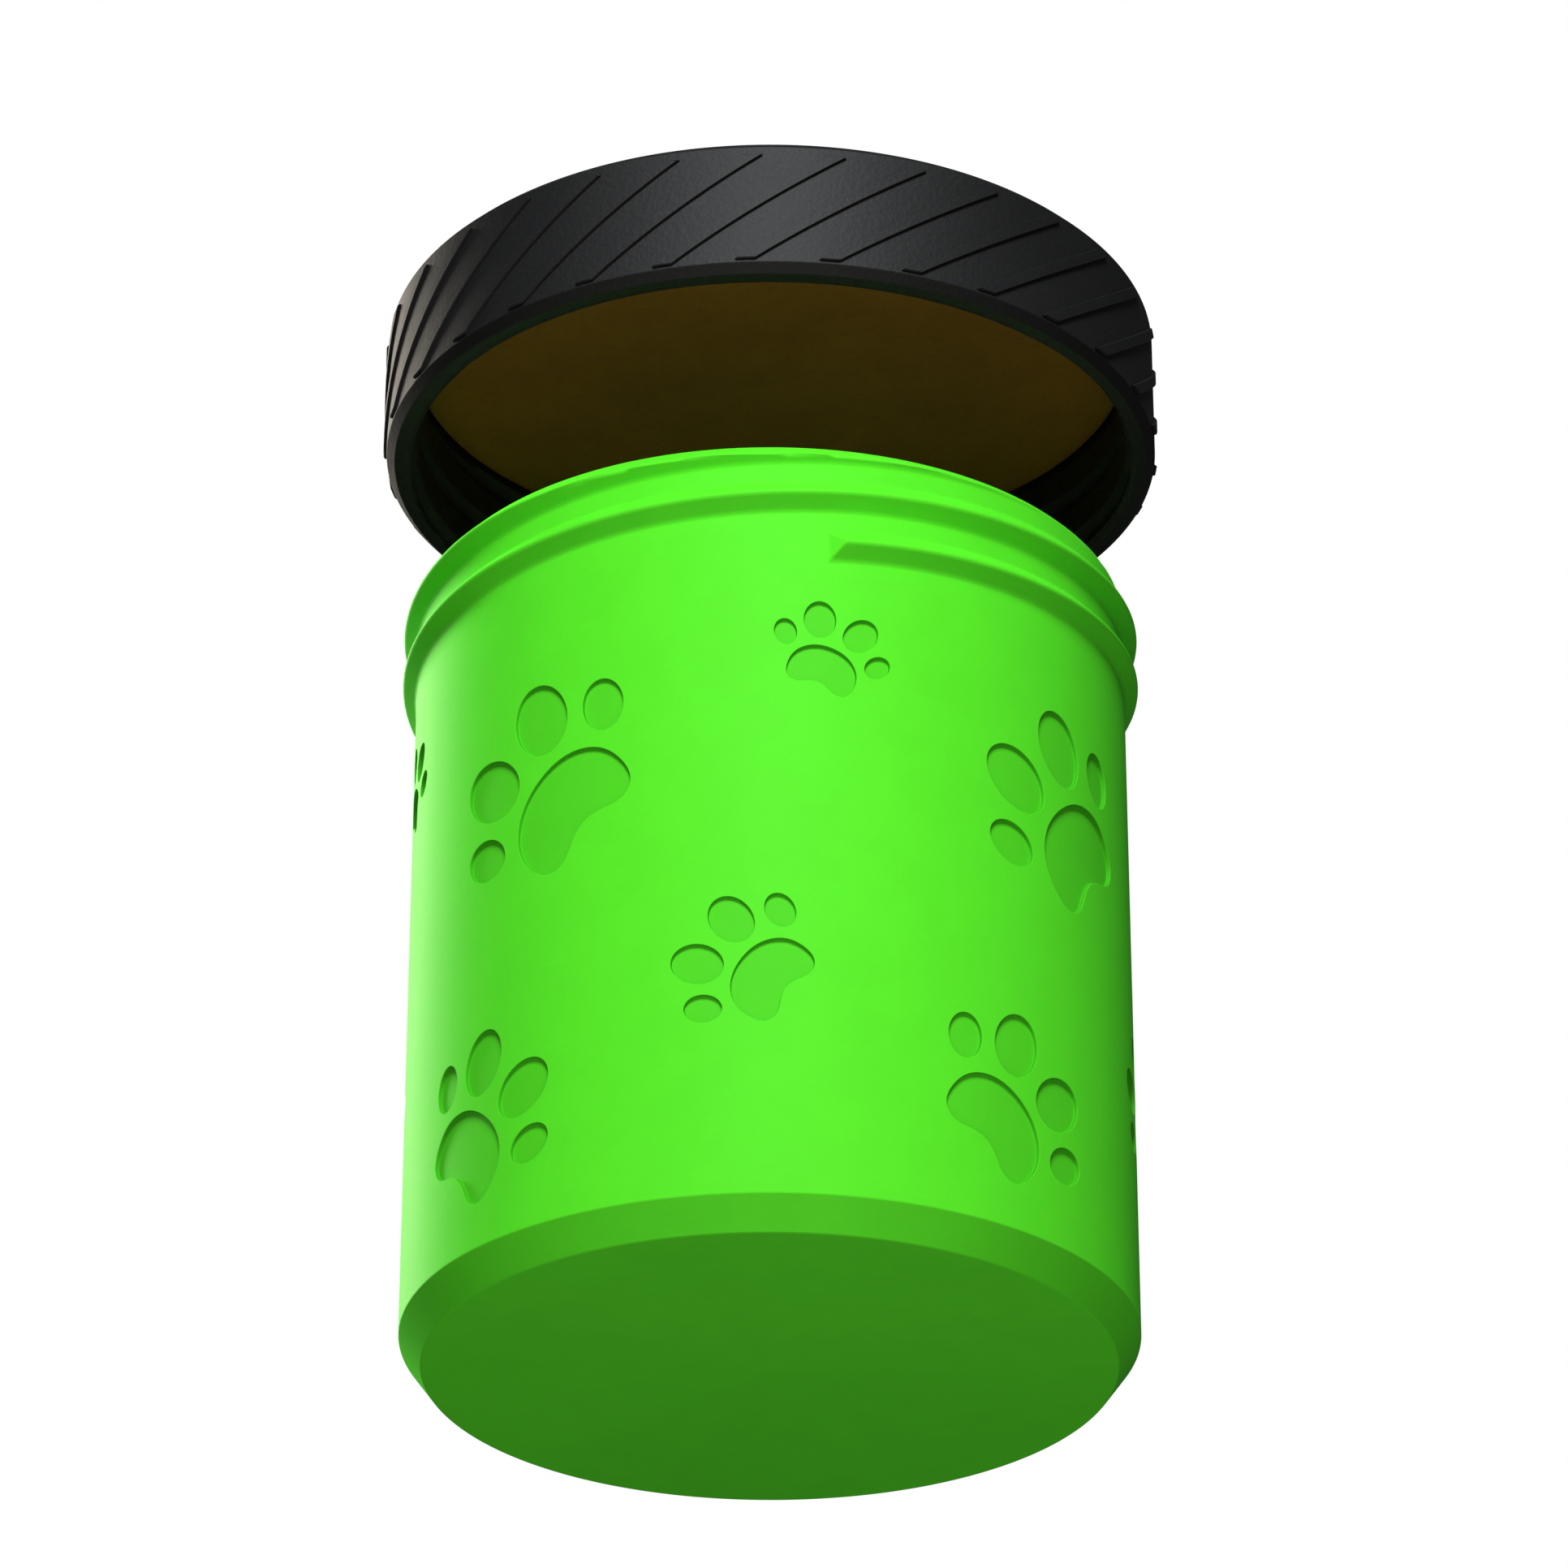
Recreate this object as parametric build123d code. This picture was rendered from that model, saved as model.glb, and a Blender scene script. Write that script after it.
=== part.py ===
"""Paw washer cup with a screw lid: build123d source.

Millimetres, +Z up.  The origin is the centre of the cup's flat underside, and
+Z is the axis of the cup, of its thread and of the lid.  Angles are given in
degrees from the front (-Y) towards the right (+X).  The lid is modelled
unscrewed and lifted clear of the cup; driving it down by one thread lead per
turn from there brings it on to the cup's thread.
"""
import math
import os

from build123d import *

# ---------------------------------------------------------------- driving sizes
# Cup
cup_radius = 45.0
cup_height = 103.7
cup_wall = 2.8
cup_floor = 3.0
base_chamfer_width = 2.8
base_chamfer_height = 3.85
rim_chamfer = 0.8

# Two-start right-hand thread round the cup's mouth
thread_starts = 2
thread_pitch = 6.85
thread_height = 1.75
thread_crest_width = 0.5
thread_first_ridge = 14.1
thread_start_angle = 9.0
thread_ramp_angle = 45.0
ridge_root_overlap = 0.6
land_root_overlap = 0.3

# Recessed paw prints
print_depth = 0.5
print_repeats = 4

# Removable silicone sleeve with its bristles
sleeve_seat_depth = 2.0
sleeve_seat_width = 1.1
sleeve_wall = 1.8
sleeve_foot_gap = 5.0
bristle_rows = 9
bristle_columns = 28
bristle_length = 15.0
bristle_root_radius = 1.1
bristle_tip_radius = 0.55
bristle_end_margin = 7.0

# Lid
lid_wall = 3.85
lid_height = 18.9
lid_plate = 1.5
lid_outer_chamfer = 1.1
lid_top_chamfer = 1.1
lid_mouth_chamfer = 0.75
lid_lift = 22.1
relief_height = 2.2
rib_count = 30
rib_height = 0.40
rib_width_angle = 2.9
rib_slant_angle = 25.0
rib_end_margin_low = 1.5
rib_end_margin_high = 2.3
rib_first_angle = 8.35

# Sealing liner in the lid
liner_thickness = 0.8

# Clearances
bore_clearance = 0.95
thread_clearance = 0.3
sleeve_clearance = 0.3
seat_clearance = 0.1
liner_radial_clearance = 0.3
liner_top_clearance = 0.1
relief_clearance = 0.05
root_contact_gap = 0.01

# Margin by which cutting tools pass the faces that they cut
cut_margin = 1.0

# ---------------------------------------------------------------- derived sizes
thread_lead = thread_starts * thread_pitch
thread_crest_radius = cup_radius + thread_height
thread_half_base = thread_crest_width / 2 + thread_height
thread_start_z = cup_height - thread_first_ridge

cup_inner_radius = cup_radius - cup_wall
seat_radius = cup_inner_radius + sleeve_seat_width
seat_z = cup_height - sleeve_seat_depth

sleeve_outer_radius = cup_inner_radius - sleeve_clearance
sleeve_inner_radius = sleeve_outer_radius - sleeve_wall
sleeve_bottom = cup_floor + sleeve_foot_gap
sleeve_top = cup_height - seat_clearance
flange_radius = seat_radius - sleeve_clearance

bore_radius = cup_radius + bore_clearance
groove_root_radius = thread_crest_radius + thread_clearance
relief_radius = groove_root_radius + relief_clearance
lid_radius = bore_radius + lid_wall
lid_bottom = cup_height + lid_lift
lid_top = lid_bottom + lid_height
plate_underside = lid_top - lid_plate
relief_bottom = plate_underside - relief_height
liner_radius = relief_radius - liner_radial_clearance
liner_top = plate_underside - liner_top_clearance

# One paw print at full size: the pad's right half from its top round to the
# notch below, and the two right toes as (x, y, half width, half height, tilt).
pad_half_outline = [
    (0.0, 6.6),
    (4.6, 5.6),
    (7.8, 2.6),
    (8.6, -1.0),
    (7.3, -4.5),
    (5.4, -5.1),
    (3.1, -4.3),
    (0.0, -3.35),
]
right_toes = [
    (5.3, 12.8, 3.95, 5.0, -20.0),
    (11.95, 6.6, 2.75, 3.55, -30.0),
]

# Prints of one repeat: (angle, height as a share of the plain wall, size, turn).
prints_in_repeat = [
    (8.0, 0.820, 0.50, -20.0),
    (-32.7, 0.639, 1.00, 41.0),
    (0.1, 0.329, 0.65, 54.0),
    (36.5, 0.150, 0.84, -38.0),
]


def at_angle(angle, height=0.0):
    """Frame turned about the axis so that its +X points outward at an angle."""
    return Pos(0, 0, height) * Rot(0, 0, angle - 90)


def revolved(points):
    """Solid of revolution about Z from a closed outline of (radius, height)."""
    profile = make_face(Plane.XZ * Polyline(*points, close=True))
    return revolve(profile, Axis.Z)


def helical_bar(outline, turns):
    """Solid swept from a (radius, height) outline along the thread's helix."""
    middle = sum(radius for radius, height in outline) / len(outline)
    path = Helix(pitch=thread_lead, height=thread_lead * turns, radius=middle)
    section = make_face(Plane.XZ * Polyline(*outline, close=True))
    return sweep(section, path=path, is_frenet=True)


# ---------------------------------------------------------------- cup
def cup_blank():
    """Cup without its thread and prints: chamfered base, floor, wall, seat."""
    return revolved([
        (0, 0),
        (cup_radius - base_chamfer_width, 0),
        (cup_radius, base_chamfer_height),
        (cup_radius, cup_height),
        (seat_radius, cup_height),
        (seat_radius, seat_z),
        (cup_inner_radius, seat_z),
        (cup_inner_radius, cup_floor),
        (0, cup_floor),
    ])


def thread_ridge(start):
    """One start of the cup's thread, from its ramped end up past the rim."""
    inner = cup_radius - ridge_root_overlap
    inner_half = thread_half_base + ridge_root_overlap
    outline = [
        (inner, -inner_half),
        (thread_crest_radius, -thread_crest_width / 2),
        (thread_crest_radius, thread_crest_width / 2),
        (inner, inner_half),
    ]
    turns = (thread_first_ridge + thread_half_base) / thread_lead
    start_angle = thread_start_angle + 360 * start / thread_starts
    ridge = helical_bar(outline, turns)
    ramp_depth = thread_pitch - thread_crest_width
    ramp = Box(4 * thread_height, 2 * ramp_depth, ramp_depth, align=(Align.CENTER, Align.MAX, Align.CENTER))
    ramp = Pos(cup_radius, 0, 0) * Rot(0, 0, thread_ramp_angle) * ramp
    return at_angle(start_angle, thread_start_z) * (ridge - ramp)


def rim_cutter():
    """Ring that bevels the rim, and whatever part of the thread reaches it."""
    top_radius = cup_radius - rim_chamfer
    reach = thread_height + rim_chamfer + cut_margin
    return revolved([
        (top_radius, cup_height),
        (top_radius + reach, cup_height - reach),
        (top_radius + reach, cup_height + thread_pitch),
        (top_radius, cup_height + thread_pitch),
    ])


def pad_face():
    """Kidney-shaped pad of a paw print at full size."""
    left = [(-x, y) for x, y in reversed(pad_half_outline[1:-1])]
    return make_face(Spline(*pad_half_outline, *left, periodic=True))


def toe_faces():
    """The four toes of a paw print at full size, as (x, y, face)."""
    toes = []
    for x, y, half_width, half_height, tilt in right_toes:
        for side in (1, -1):
            toes.append((side * x, y, Rot(0, 0, side * tilt) * Ellipse(half_width, half_height)))
    return toes


def print_tools():
    """Prisms, one for each pad and toe, that stand on the cup's wall."""
    shapes = [(0.0, 0.0, pad_face())] + toe_faces()
    plain_wall = thread_start_z - thread_half_base - base_chamfer_height
    tools = []
    for angle, share, size, turn in prints_in_repeat:
        height = base_chamfer_height + share * plain_wall
        for x, y, face in shapes:
            turned = Vector(x, y, 0).rotate(Axis.Z, turn) * size
            outline = scale(Rot(0, 0, turn) * face, by=size)
            local_angle = angle + math.degrees(turned.X / cup_radius)
            for repeat in range(print_repeats):
                place = at_angle(local_angle + 360 * repeat / print_repeats, height + turned.Y)
                wall_plane = Plane(origin=(cup_radius / 2, 0, 0), x_dir=(0, 1, 0), z_dir=(1, 0, 0))
                tools.append(place * extrude(wall_plane * outline, amount=cup_radius))
    return tools


def print_band():
    """Ring of wall as thick as the prints are deep, which the prisms cut up."""
    band = Cylinder(cup_radius + cut_margin, thread_start_z, align=(Align.CENTER, Align.CENTER, Align.MIN))
    core = Cylinder(cup_radius - print_depth, thread_start_z, align=(Align.CENTER, Align.CENTER, Align.MIN))
    return band - core


def make_cup_body():
    """Cup with its thread, bevelled rim and recessed prints."""
    cup = cup_blank()
    cup += [thread_ridge(start) for start in range(thread_starts)]
    cup -= rim_cutter()
    band = print_band()
    cup -= [tool & band for tool in print_tools()]
    return cup


# ---------------------------------------------------------------- sleeve
def make_bristle_sleeve():
    """Silicone tube hung by its flange on the seat inside the rim."""
    return revolved([
        (sleeve_inner_radius, sleeve_bottom),
        (sleeve_outer_radius, sleeve_bottom),
        (sleeve_outer_radius, seat_z),
        (flange_radius, seat_z),
        (flange_radius, sleeve_top),
        (sleeve_inner_radius, sleeve_top),
    ])


def make_sleeve_bristles():
    """Staggered rows of tapered bristles that point at the axis."""
    root_plane_radius = math.sqrt(sleeve_inner_radius**2 - bristle_root_radius**2) - root_contact_gap
    bristle = Cone(
        bristle_root_radius, bristle_tip_radius, bristle_length,
        align=(Align.CENTER, Align.CENTER, Align.MIN),
    )
    bristle = Pos(root_plane_radius, 0, 0) * Rot(0, -90, 0) * bristle
    lowest = sleeve_bottom + bristle_end_margin
    row_pitch = (seat_z - bristle_end_margin - lowest) / (bristle_rows - 1)
    column_angle = 360 / bristle_columns
    bristles = []
    for row in range(bristle_rows):
        for column in range(bristle_columns):
            angle = column_angle * (column + 0.5 * (row % 2))
            bristles.append(at_angle(angle, lowest + row * row_pitch) * bristle)
    return Compound(children=bristles)


# ---------------------------------------------------------------- lid
def lid_blank():
    """Lid without thread and ribs: skirt, relief and top plate."""
    return revolved([
        (0, plate_underside),
        (relief_radius, plate_underside),
        (relief_radius, relief_bottom),
        (groove_root_radius, relief_bottom),
        (groove_root_radius, lid_bottom),
        (lid_radius - lid_outer_chamfer, lid_bottom),
        (lid_radius, lid_bottom + lid_outer_chamfer),
        (lid_radius, lid_top - lid_top_chamfer),
        (lid_radius - lid_top_chamfer, lid_top),
        (0, lid_top),
    ])


def lid_land(start):
    """Land between two grooves of the lid's thread, in step with the cup's ridges."""
    axial_clearance = thread_clearance * math.sqrt(2)
    groove_half = thread_crest_width / 2 + axial_clearance - thread_clearance
    root_half = thread_pitch / 2 - groove_half
    crest_half = root_half - (groove_root_radius - bore_radius)
    outer = groove_root_radius + land_root_overlap
    outer_half = root_half + land_root_overlap
    outline = [
        (bore_radius, -crest_half),
        (outer, -outer_half),
        (outer, outer_half),
        (bore_radius, crest_half),
    ]
    turns = (relief_bottom - lid_bottom + 2 * outer_half) / thread_lead
    lowest = lid_bottom - outer_half
    rise = lowest - thread_start_z + thread_pitch / 2
    angle = thread_start_angle + 360 * start / thread_starts + 360 * rise / thread_lead
    land = at_angle(angle % 360, lowest) * helical_bar(outline, turns)
    band = Pos(0, 0, lid_bottom) * Cylinder(
        lid_radius, relief_bottom - lid_bottom, align=(Align.CENTER, Align.CENTER, Align.MIN)
    )
    return land & band


def mouth_cutter():
    """Cone that bevels the lid's mouth."""
    return Pos(0, 0, lid_bottom) * Cone(
        bore_radius + lid_mouth_chamfer, bore_radius, lid_mouth_chamfer,
        align=(Align.CENTER, Align.CENTER, Align.MIN),
    )


def lid_rib():
    """One slanted grip rib, half sunk in the skirt, its lower end centred on +X."""
    half = rib_width_angle / 2
    low = lid_bottom + rib_end_margin_low
    high = lid_top - rib_end_margin_high
    inner = lid_radius - rib_height
    outer = lid_radius + rib_height
    corners = [(inner, -half), (outer, -half), (outer, half), (inner, half)]
    points = [
        (radius * math.cos(math.radians(angle)), radius * math.sin(math.radians(angle)))
        for radius, angle in corners
    ]
    outer_middle = (outer, 0)
    inner_middle = (inner, 0)
    section = make_face([
        Line(points[0], points[1]),
        ThreePointArc(points[1], outer_middle, points[2]),
        Line(points[2], points[3]),
        ThreePointArc(points[3], inner_middle, points[0]),
    ])
    return Pos(0, 0, low) * Solid.extrude_linear_with_rotation(
        section.face(), center=(0, 0, 0), normal=(0, 0, high - low), angle=rib_slant_angle
    )


def make_lid_shell():
    """Lid with its internal thread and its ring of slanted ribs."""
    lid = lid_blank()
    lid += [lid_land(start) for start in range(thread_starts)]
    lid -= mouth_cutter()
    rib = lid_rib()
    lid += [at_angle(rib_first_angle + 360 * index / rib_count) * rib for index in range(rib_count)]
    return lid


def make_lid_liner():
    """Sealing disc held in the relief above the lid's thread."""
    return Pos(0, 0, liner_top) * Cylinder(
        liner_radius, liner_thickness, align=(Align.CENTER, Align.CENTER, Align.MAX)
    )


# ---------------------------------------------------------------- export
nodes = {
    "cup_body": make_cup_body,
    "bristle_sleeve": make_bristle_sleeve,
    "sleeve_bristles": make_sleeve_bristles,
    "lid_shell": make_lid_shell,
    "lid_liner": make_lid_liner,
}

os.makedirs("parts", exist_ok=True)
for name, make in nodes.items():
    export_step(make(), f"parts/{name}.step")
    print("wrote", name)
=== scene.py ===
"""Paw washer cup: a moulded cup with recessed paw prints, a bristled silicone
sleeve hung inside it, and a ribbed screw lid with its sealing liner.

Sizes are in millimetres until a mesh is made.  Angles are in degrees from the
front (-Y) towards the right (+X).  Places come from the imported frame.
"""

import logging
import math
from dataclasses import dataclass, field
from enum import Enum
from typing import Any, Callable, Iterable, Optional, Sequence, Union

import bmesh
import bpy
import numpy as np
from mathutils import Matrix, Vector, geometry


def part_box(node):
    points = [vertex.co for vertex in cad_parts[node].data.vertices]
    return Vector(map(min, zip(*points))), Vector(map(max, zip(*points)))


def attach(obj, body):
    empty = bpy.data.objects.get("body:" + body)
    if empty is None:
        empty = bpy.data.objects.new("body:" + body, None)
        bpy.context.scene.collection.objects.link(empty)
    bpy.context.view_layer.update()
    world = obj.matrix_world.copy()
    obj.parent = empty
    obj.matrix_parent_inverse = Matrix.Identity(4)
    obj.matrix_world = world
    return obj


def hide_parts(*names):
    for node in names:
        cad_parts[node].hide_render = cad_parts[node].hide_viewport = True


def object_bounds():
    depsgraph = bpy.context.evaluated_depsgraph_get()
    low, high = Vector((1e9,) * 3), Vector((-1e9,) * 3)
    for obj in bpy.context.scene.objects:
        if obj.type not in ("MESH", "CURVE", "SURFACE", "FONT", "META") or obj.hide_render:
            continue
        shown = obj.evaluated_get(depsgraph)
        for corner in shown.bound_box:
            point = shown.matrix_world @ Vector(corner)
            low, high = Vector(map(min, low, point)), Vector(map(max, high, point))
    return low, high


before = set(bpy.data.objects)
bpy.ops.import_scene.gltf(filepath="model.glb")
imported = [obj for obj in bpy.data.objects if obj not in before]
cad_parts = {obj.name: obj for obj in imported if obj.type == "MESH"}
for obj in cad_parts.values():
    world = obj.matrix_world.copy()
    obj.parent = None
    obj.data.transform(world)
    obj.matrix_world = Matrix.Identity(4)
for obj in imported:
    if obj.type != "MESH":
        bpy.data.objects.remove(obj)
CAD_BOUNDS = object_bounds()

log = logging.getLogger("paw_washer_cup")

MM = 0.001
COLUMNS = 240
COLUMN_ANGLE = 360.0 / COLUMNS
SEAM_ANGLE = -18.5
WELD_DISTANCE = 0.0008
ARC_STEPS = 5
SPLINE_STEPS = 24
NORMAL_STEP = 0.02
POLE_RADIUS = 1e-6
SLIVER_AREA = 1e-9

Colour = tuple[float, float, float]
Point2 = tuple[float, float]


class Node(str, Enum):
    """CAD nodes that the pieces stand for."""

    CUP = "cup_body"
    SLEEVE = "bristle_sleeve"
    BRISTLES = "sleeve_bristles"
    LID = "lid_shell"
    LINER = "lid_liner"


class Body(str, Enum):
    """Rigid bodies of the frame."""

    CUP = "cup"
    LINER = "liner"
    LID = "lid"


class Slot(str, Enum):
    """Material slots of the record."""

    GREEN = "cup_green"
    SILICONE = "sleeve_silicone"
    BLACK = "lid_black"
    MUSTARD = "liner_mustard"


class Facing(Enum):
    """Which way a wrapped band's faces look."""

    OUTWARD = 1
    INWARD = -1


# ------------------------------------------------------------------ geometry
def on_cylinder(angle: float, radius: float, height: float) -> Vector:
    """Point at an angle, radius and height.

    Args:
        angle: degrees from the front towards the right.
        radius: distance from the axis.
        height: height above the cup's underside.

    Returns:
        The point in millimetres.
    """
    turn = math.radians(angle)
    return Vector((radius * math.sin(turn), -radius * math.cos(turn), height))


def tilted_normal(angle: float, outward: float, sideways: float, upward: float) -> Vector:
    """Unit normal from its outward, sideways and upward parts at an angle.

    Args:
        angle: degrees from the front towards the right.
        outward: part away from the axis.
        sideways: part along the increasing angle.
        upward: part along +Z.

    Returns:
        The unit vector.
    """
    turn = math.radians(angle)
    out = Vector((math.sin(turn), -math.cos(turn), 0.0))
    side = Vector((math.cos(turn), math.sin(turn), 0.0))
    return (outward * out + sideways * side + Vector((0.0, 0.0, upward))).normalized()


def soft_min(first: float, second: float, width: float) -> float:
    """Lesser of two values, rounded where they differ by less than width."""
    blend = max(width - abs(first - second), 0.0) / width
    return min(first, second) - blend * blend * width / 4.0


def soft_max(first: float, second: float, width: float) -> float:
    """Greater of two values, rounded where they differ by less than width."""
    return -soft_min(-first, -second, width)


@dataclass(frozen=True)
class Corner:
    """A corner of a turned section, with the radius that rounds it."""

    radius: float
    height: float
    rounding: float = 0.0


@dataclass(frozen=True)
class SectionPoint:
    """A point of a rounded section and the section's outward normal there."""

    radius: float
    height: float
    normal_out: float
    normal_up: float


def section_point(place: Sequence[float], normal: Sequence[float]) -> SectionPoint:
    """Section point from a place and a normal."""
    return SectionPoint(float(place[0]), float(place[1]), float(normal[0]), float(normal[1]))


def rounded_section(corners: Sequence[Corner], steps: int = ARC_STEPS) -> list[SectionPoint]:
    """Section with every inner corner turned into an arc.

    Args:
        corners: the section's corners, with the solid on the left of the path.
        steps: segments of each arc.

    Returns:
        Points with normals, from the first corner to the last.
    """
    places = [np.array((c.radius, c.height)) for c in corners]
    ways = [(b - a) / np.linalg.norm(b - a) for a, b in zip(places, places[1:])]
    first = ways[0]
    points = [section_point(places[0], (first[1], -first[0]))]
    for index in range(1, len(places) - 1):
        before, after = ways[index - 1], ways[index]
        cross = before[0] * after[1] - before[1] * after[0]
        bend = math.atan2(cross, float(before @ after))
        rounding = corners[index].rounding
        reach = rounding * math.tan(abs(bend) / 2.0)
        side = math.copysign(1.0, bend)
        start_normal = np.array((before[1], -before[0]))
        centre = places[index] - before * reach - side * rounding * start_normal
        for step in range(steps + 1):
            turn = bend * step / steps
            cosine, sine = math.cos(turn), math.sin(turn)
            normal = np.array((
                start_normal[0] * cosine - start_normal[1] * sine,
                start_normal[0] * sine + start_normal[1] * cosine,
            ))
            place = centre + side * rounding * normal
            points.append(section_point(place, normal))
    last = ways[-1]
    points.append(section_point(places[-1], (last[1], -last[0])))
    return points


def closed_curve(points: Sequence[Point2], spacing: float) -> np.ndarray:
    """Smooth closed curve through points, a periodic cubic spline.

    Args:
        points: the points that it goes through, in order.
        spacing: distance between the samples that are returned.

    Returns:
        Samples, one row each.
    """
    knots = np.array(points)
    count = len(knots)
    gaps = np.linalg.norm(np.roll(knots, -1, axis=0) - knots, axis=1)
    system = np.zeros((count, count))
    right = np.zeros((count, 2))
    for i in range(count):
        before, after = gaps[i - 1], gaps[i]
        system[i, i - 1] += after
        system[i, i] += 2.0 * (before + after)
        system[i, (i + 1) % count] += before
        ahead = (knots[(i + 1) % count] - knots[i]) / after
        behind = (knots[i] - knots[i - 1]) / before
        right[i] = 3.0 * (after * behind + before * ahead)
    slopes = np.linalg.solve(system, right)
    samples = []
    for i in range(count):
        j = (i + 1) % count
        for t in np.linspace(0.0, 1.0, SPLINE_STEPS, endpoint=False):
            samples.append(
                (2 * t**3 - 3 * t**2 + 1) * knots[i]
                + (t**3 - 2 * t**2 + t) * gaps[i] * slopes[i]
                + (3 * t**2 - 2 * t**3) * knots[j]
                + (t**3 - t**2) * gaps[i] * slopes[j]
            )
    return evenly_spaced(np.array(samples), spacing)


def evenly_spaced(loop: np.ndarray, spacing: float) -> np.ndarray:
    """Closed loop resampled at an even distance.

    Args:
        loop: points of the loop, one row each.
        spacing: distance wanted between samples.

    Returns:
        The samples.
    """
    closed = np.vstack([loop, loop[:1]])
    run = np.concatenate([[0.0], np.cumsum(np.linalg.norm(np.diff(closed, axis=0), axis=1))])
    count = max(int(round(run[-1] / spacing)), 16)
    wanted = np.linspace(0.0, run[-1], count, endpoint=False)
    return np.column_stack([np.interp(wanted, run, closed[:, k]) for k in range(2)])


def loop_normals(loop: np.ndarray) -> np.ndarray:
    """Outward unit normals of a loop that runs counter-clockwise."""
    along = np.roll(loop, -1, axis=0) - np.roll(loop, 1, axis=0)
    along /= np.linalg.norm(along, axis=1)[:, None]
    return np.column_stack([along[:, 1], -along[:, 0]])


def signed_distance(points: np.ndarray, loop: np.ndarray) -> np.ndarray:
    """Distance from points to a loop, negative inside it.

    Args:
        points: points, one row each.
        loop: the closed loop's points.

    Returns:
        One distance for each point.
    """
    starts, ends = loop, np.roll(loop, -1, axis=0)
    edges = ends - starts
    offsets = points[:, None, :] - starts[None, :, :]
    share = np.clip((offsets * edges).sum(2) / (edges**2).sum(1), 0.0, 1.0)
    distance = np.linalg.norm(offsets - share[..., None] * edges, axis=2).min(1)
    above = starts[None, :, 1] > points[:, None, 1]
    crosses = above != (ends[None, :, 1] > points[:, None, 1])
    rise = np.where(edges[:, 1] == 0.0, 1.0, edges[:, 1])
    reach = starts[None, :, 0] + offsets[..., 1] / rise * edges[:, 0]
    inside = (crosses & (points[:, None, 0] < reach)).sum(1) % 2 == 1
    return np.where(inside, -distance, distance)


class Skin:
    """Vertices, normals, marks and faces of one closed surface, in millimetres."""

    def __init__(self) -> None:
        """Starts an empty surface."""
        self.points: list[Vector] = []
        self.normals: list[Vector] = []
        self.marks: list[float] = []
        self.faces: list[tuple[int, ...]] = []

    def vertex(self, point: Vector, normal: Vector, mark: float = 0.0) -> int:
        """Adds a vertex.

        Args:
            point: its place.
            normal: the surface's unit normal there.
            mark: value of the surface's own attribute there.

        Returns:
            The vertex's number.
        """
        self.points.append(point)
        self.normals.append(normal)
        self.marks.append(mark)
        return len(self.points) - 1

    def lathe(self, section: Sequence[SectionPoint]) -> None:
        """Turns a section round the axis.

        Args:
            section: points from one end to the other, solid on the left.
        """
        rings: list[list[int]] = []
        for point in section:
            if point.radius < POLE_RADIUS:
                pole = Vector((0.0, 0.0, point.height))
                facing = Vector((0.0, 0.0, math.copysign(1.0, point.normal_up)))
                rings.append([self.vertex(pole, facing)])
                continue
            ring = []
            for column in range(COLUMNS):
                angle = SEAM_ANGLE + 360.0 * column / COLUMNS
                normal = tilted_normal(angle, point.normal_out, 0.0, point.normal_up)
                ring.append(self.vertex(on_cylinder(angle, point.radius, point.height), normal))
            rings.append(ring)
        for low, high in zip(rings, rings[1:]):
            self.bridge(low, high)

    def bridge(self, low: Sequence[int], high: Sequence[int]) -> None:
        """Joins two closed rings of vertices, either of which may be a pole."""
        count = max(len(low), len(high))
        for column in range(count):
            after = (column + 1) % count
            if len(low) == 1:
                self.faces.append((low[0], high[after], high[column]))
            elif len(high) == 1:
                self.faces.append((low[column], low[after], high[0]))
            else:
                self.faces.append((low[column], low[after], high[after], high[column]))

    def to_object(self, name: str, mark_name: Optional[str] = None) -> bpy.types.Object:
        """Makes a Blender object with welded seams and exact normals.

        Args:
            name: the piece's name.
            mark_name: name of the attribute that keeps the marks, if wanted.

        Returns:
            The object, linked to the scene, with its place in its mesh.
        """
        mesh = bpy.data.meshes.new(name)
        mesh.from_pydata([point * MM for point in self.points], [], self.faces)
        hint = mesh.attributes.new("hint", "FLOAT_VECTOR", "POINT")
        hint.data.foreach_set("vector", np.array(self.normals, np.float32).ravel())
        if mark_name:
            marks = mesh.attributes.new(mark_name, "FLOAT", "POINT")
            marks.data.foreach_set("value", np.array(self.marks, np.float32))
        form = bmesh.new()
        form.from_mesh(mesh)
        bmesh.ops.remove_doubles(form, verts=form.verts, dist=WELD_DISTANCE * MM)
        bmesh.ops.dissolve_degenerate(form, edges=form.edges, dist=WELD_DISTANCE * MM / 4.0)
        bmesh.ops.triangulate(form, faces=[f for f in form.faces if len(f.verts) > 4])
        open_edges = sum(1 for edge in form.edges if len(edge.link_faces) != 2)
        if open_edges:
            log.warning("%s has %d open edges", name, open_edges)
        form.to_mesh(mesh)
        form.free()
        hints = np.zeros(len(mesh.vertices) * 3, np.float32)
        mesh.attributes["hint"].data.foreach_get("vector", hints)
        mesh.attributes.remove(mesh.attributes["hint"])
        mesh.shade_smooth()
        mesh.normals_split_custom_set_from_vertices(hints.reshape(-1, 3).tolist())
        return link_object(name, mesh)


def link_object(name: str, mesh: bpy.types.Mesh) -> bpy.types.Object:
    """Object at the origin with this mesh, linked to the scene."""
    piece = bpy.data.objects.new(name, mesh)
    bpy.context.scene.collection.objects.link(piece)
    return piece


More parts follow.
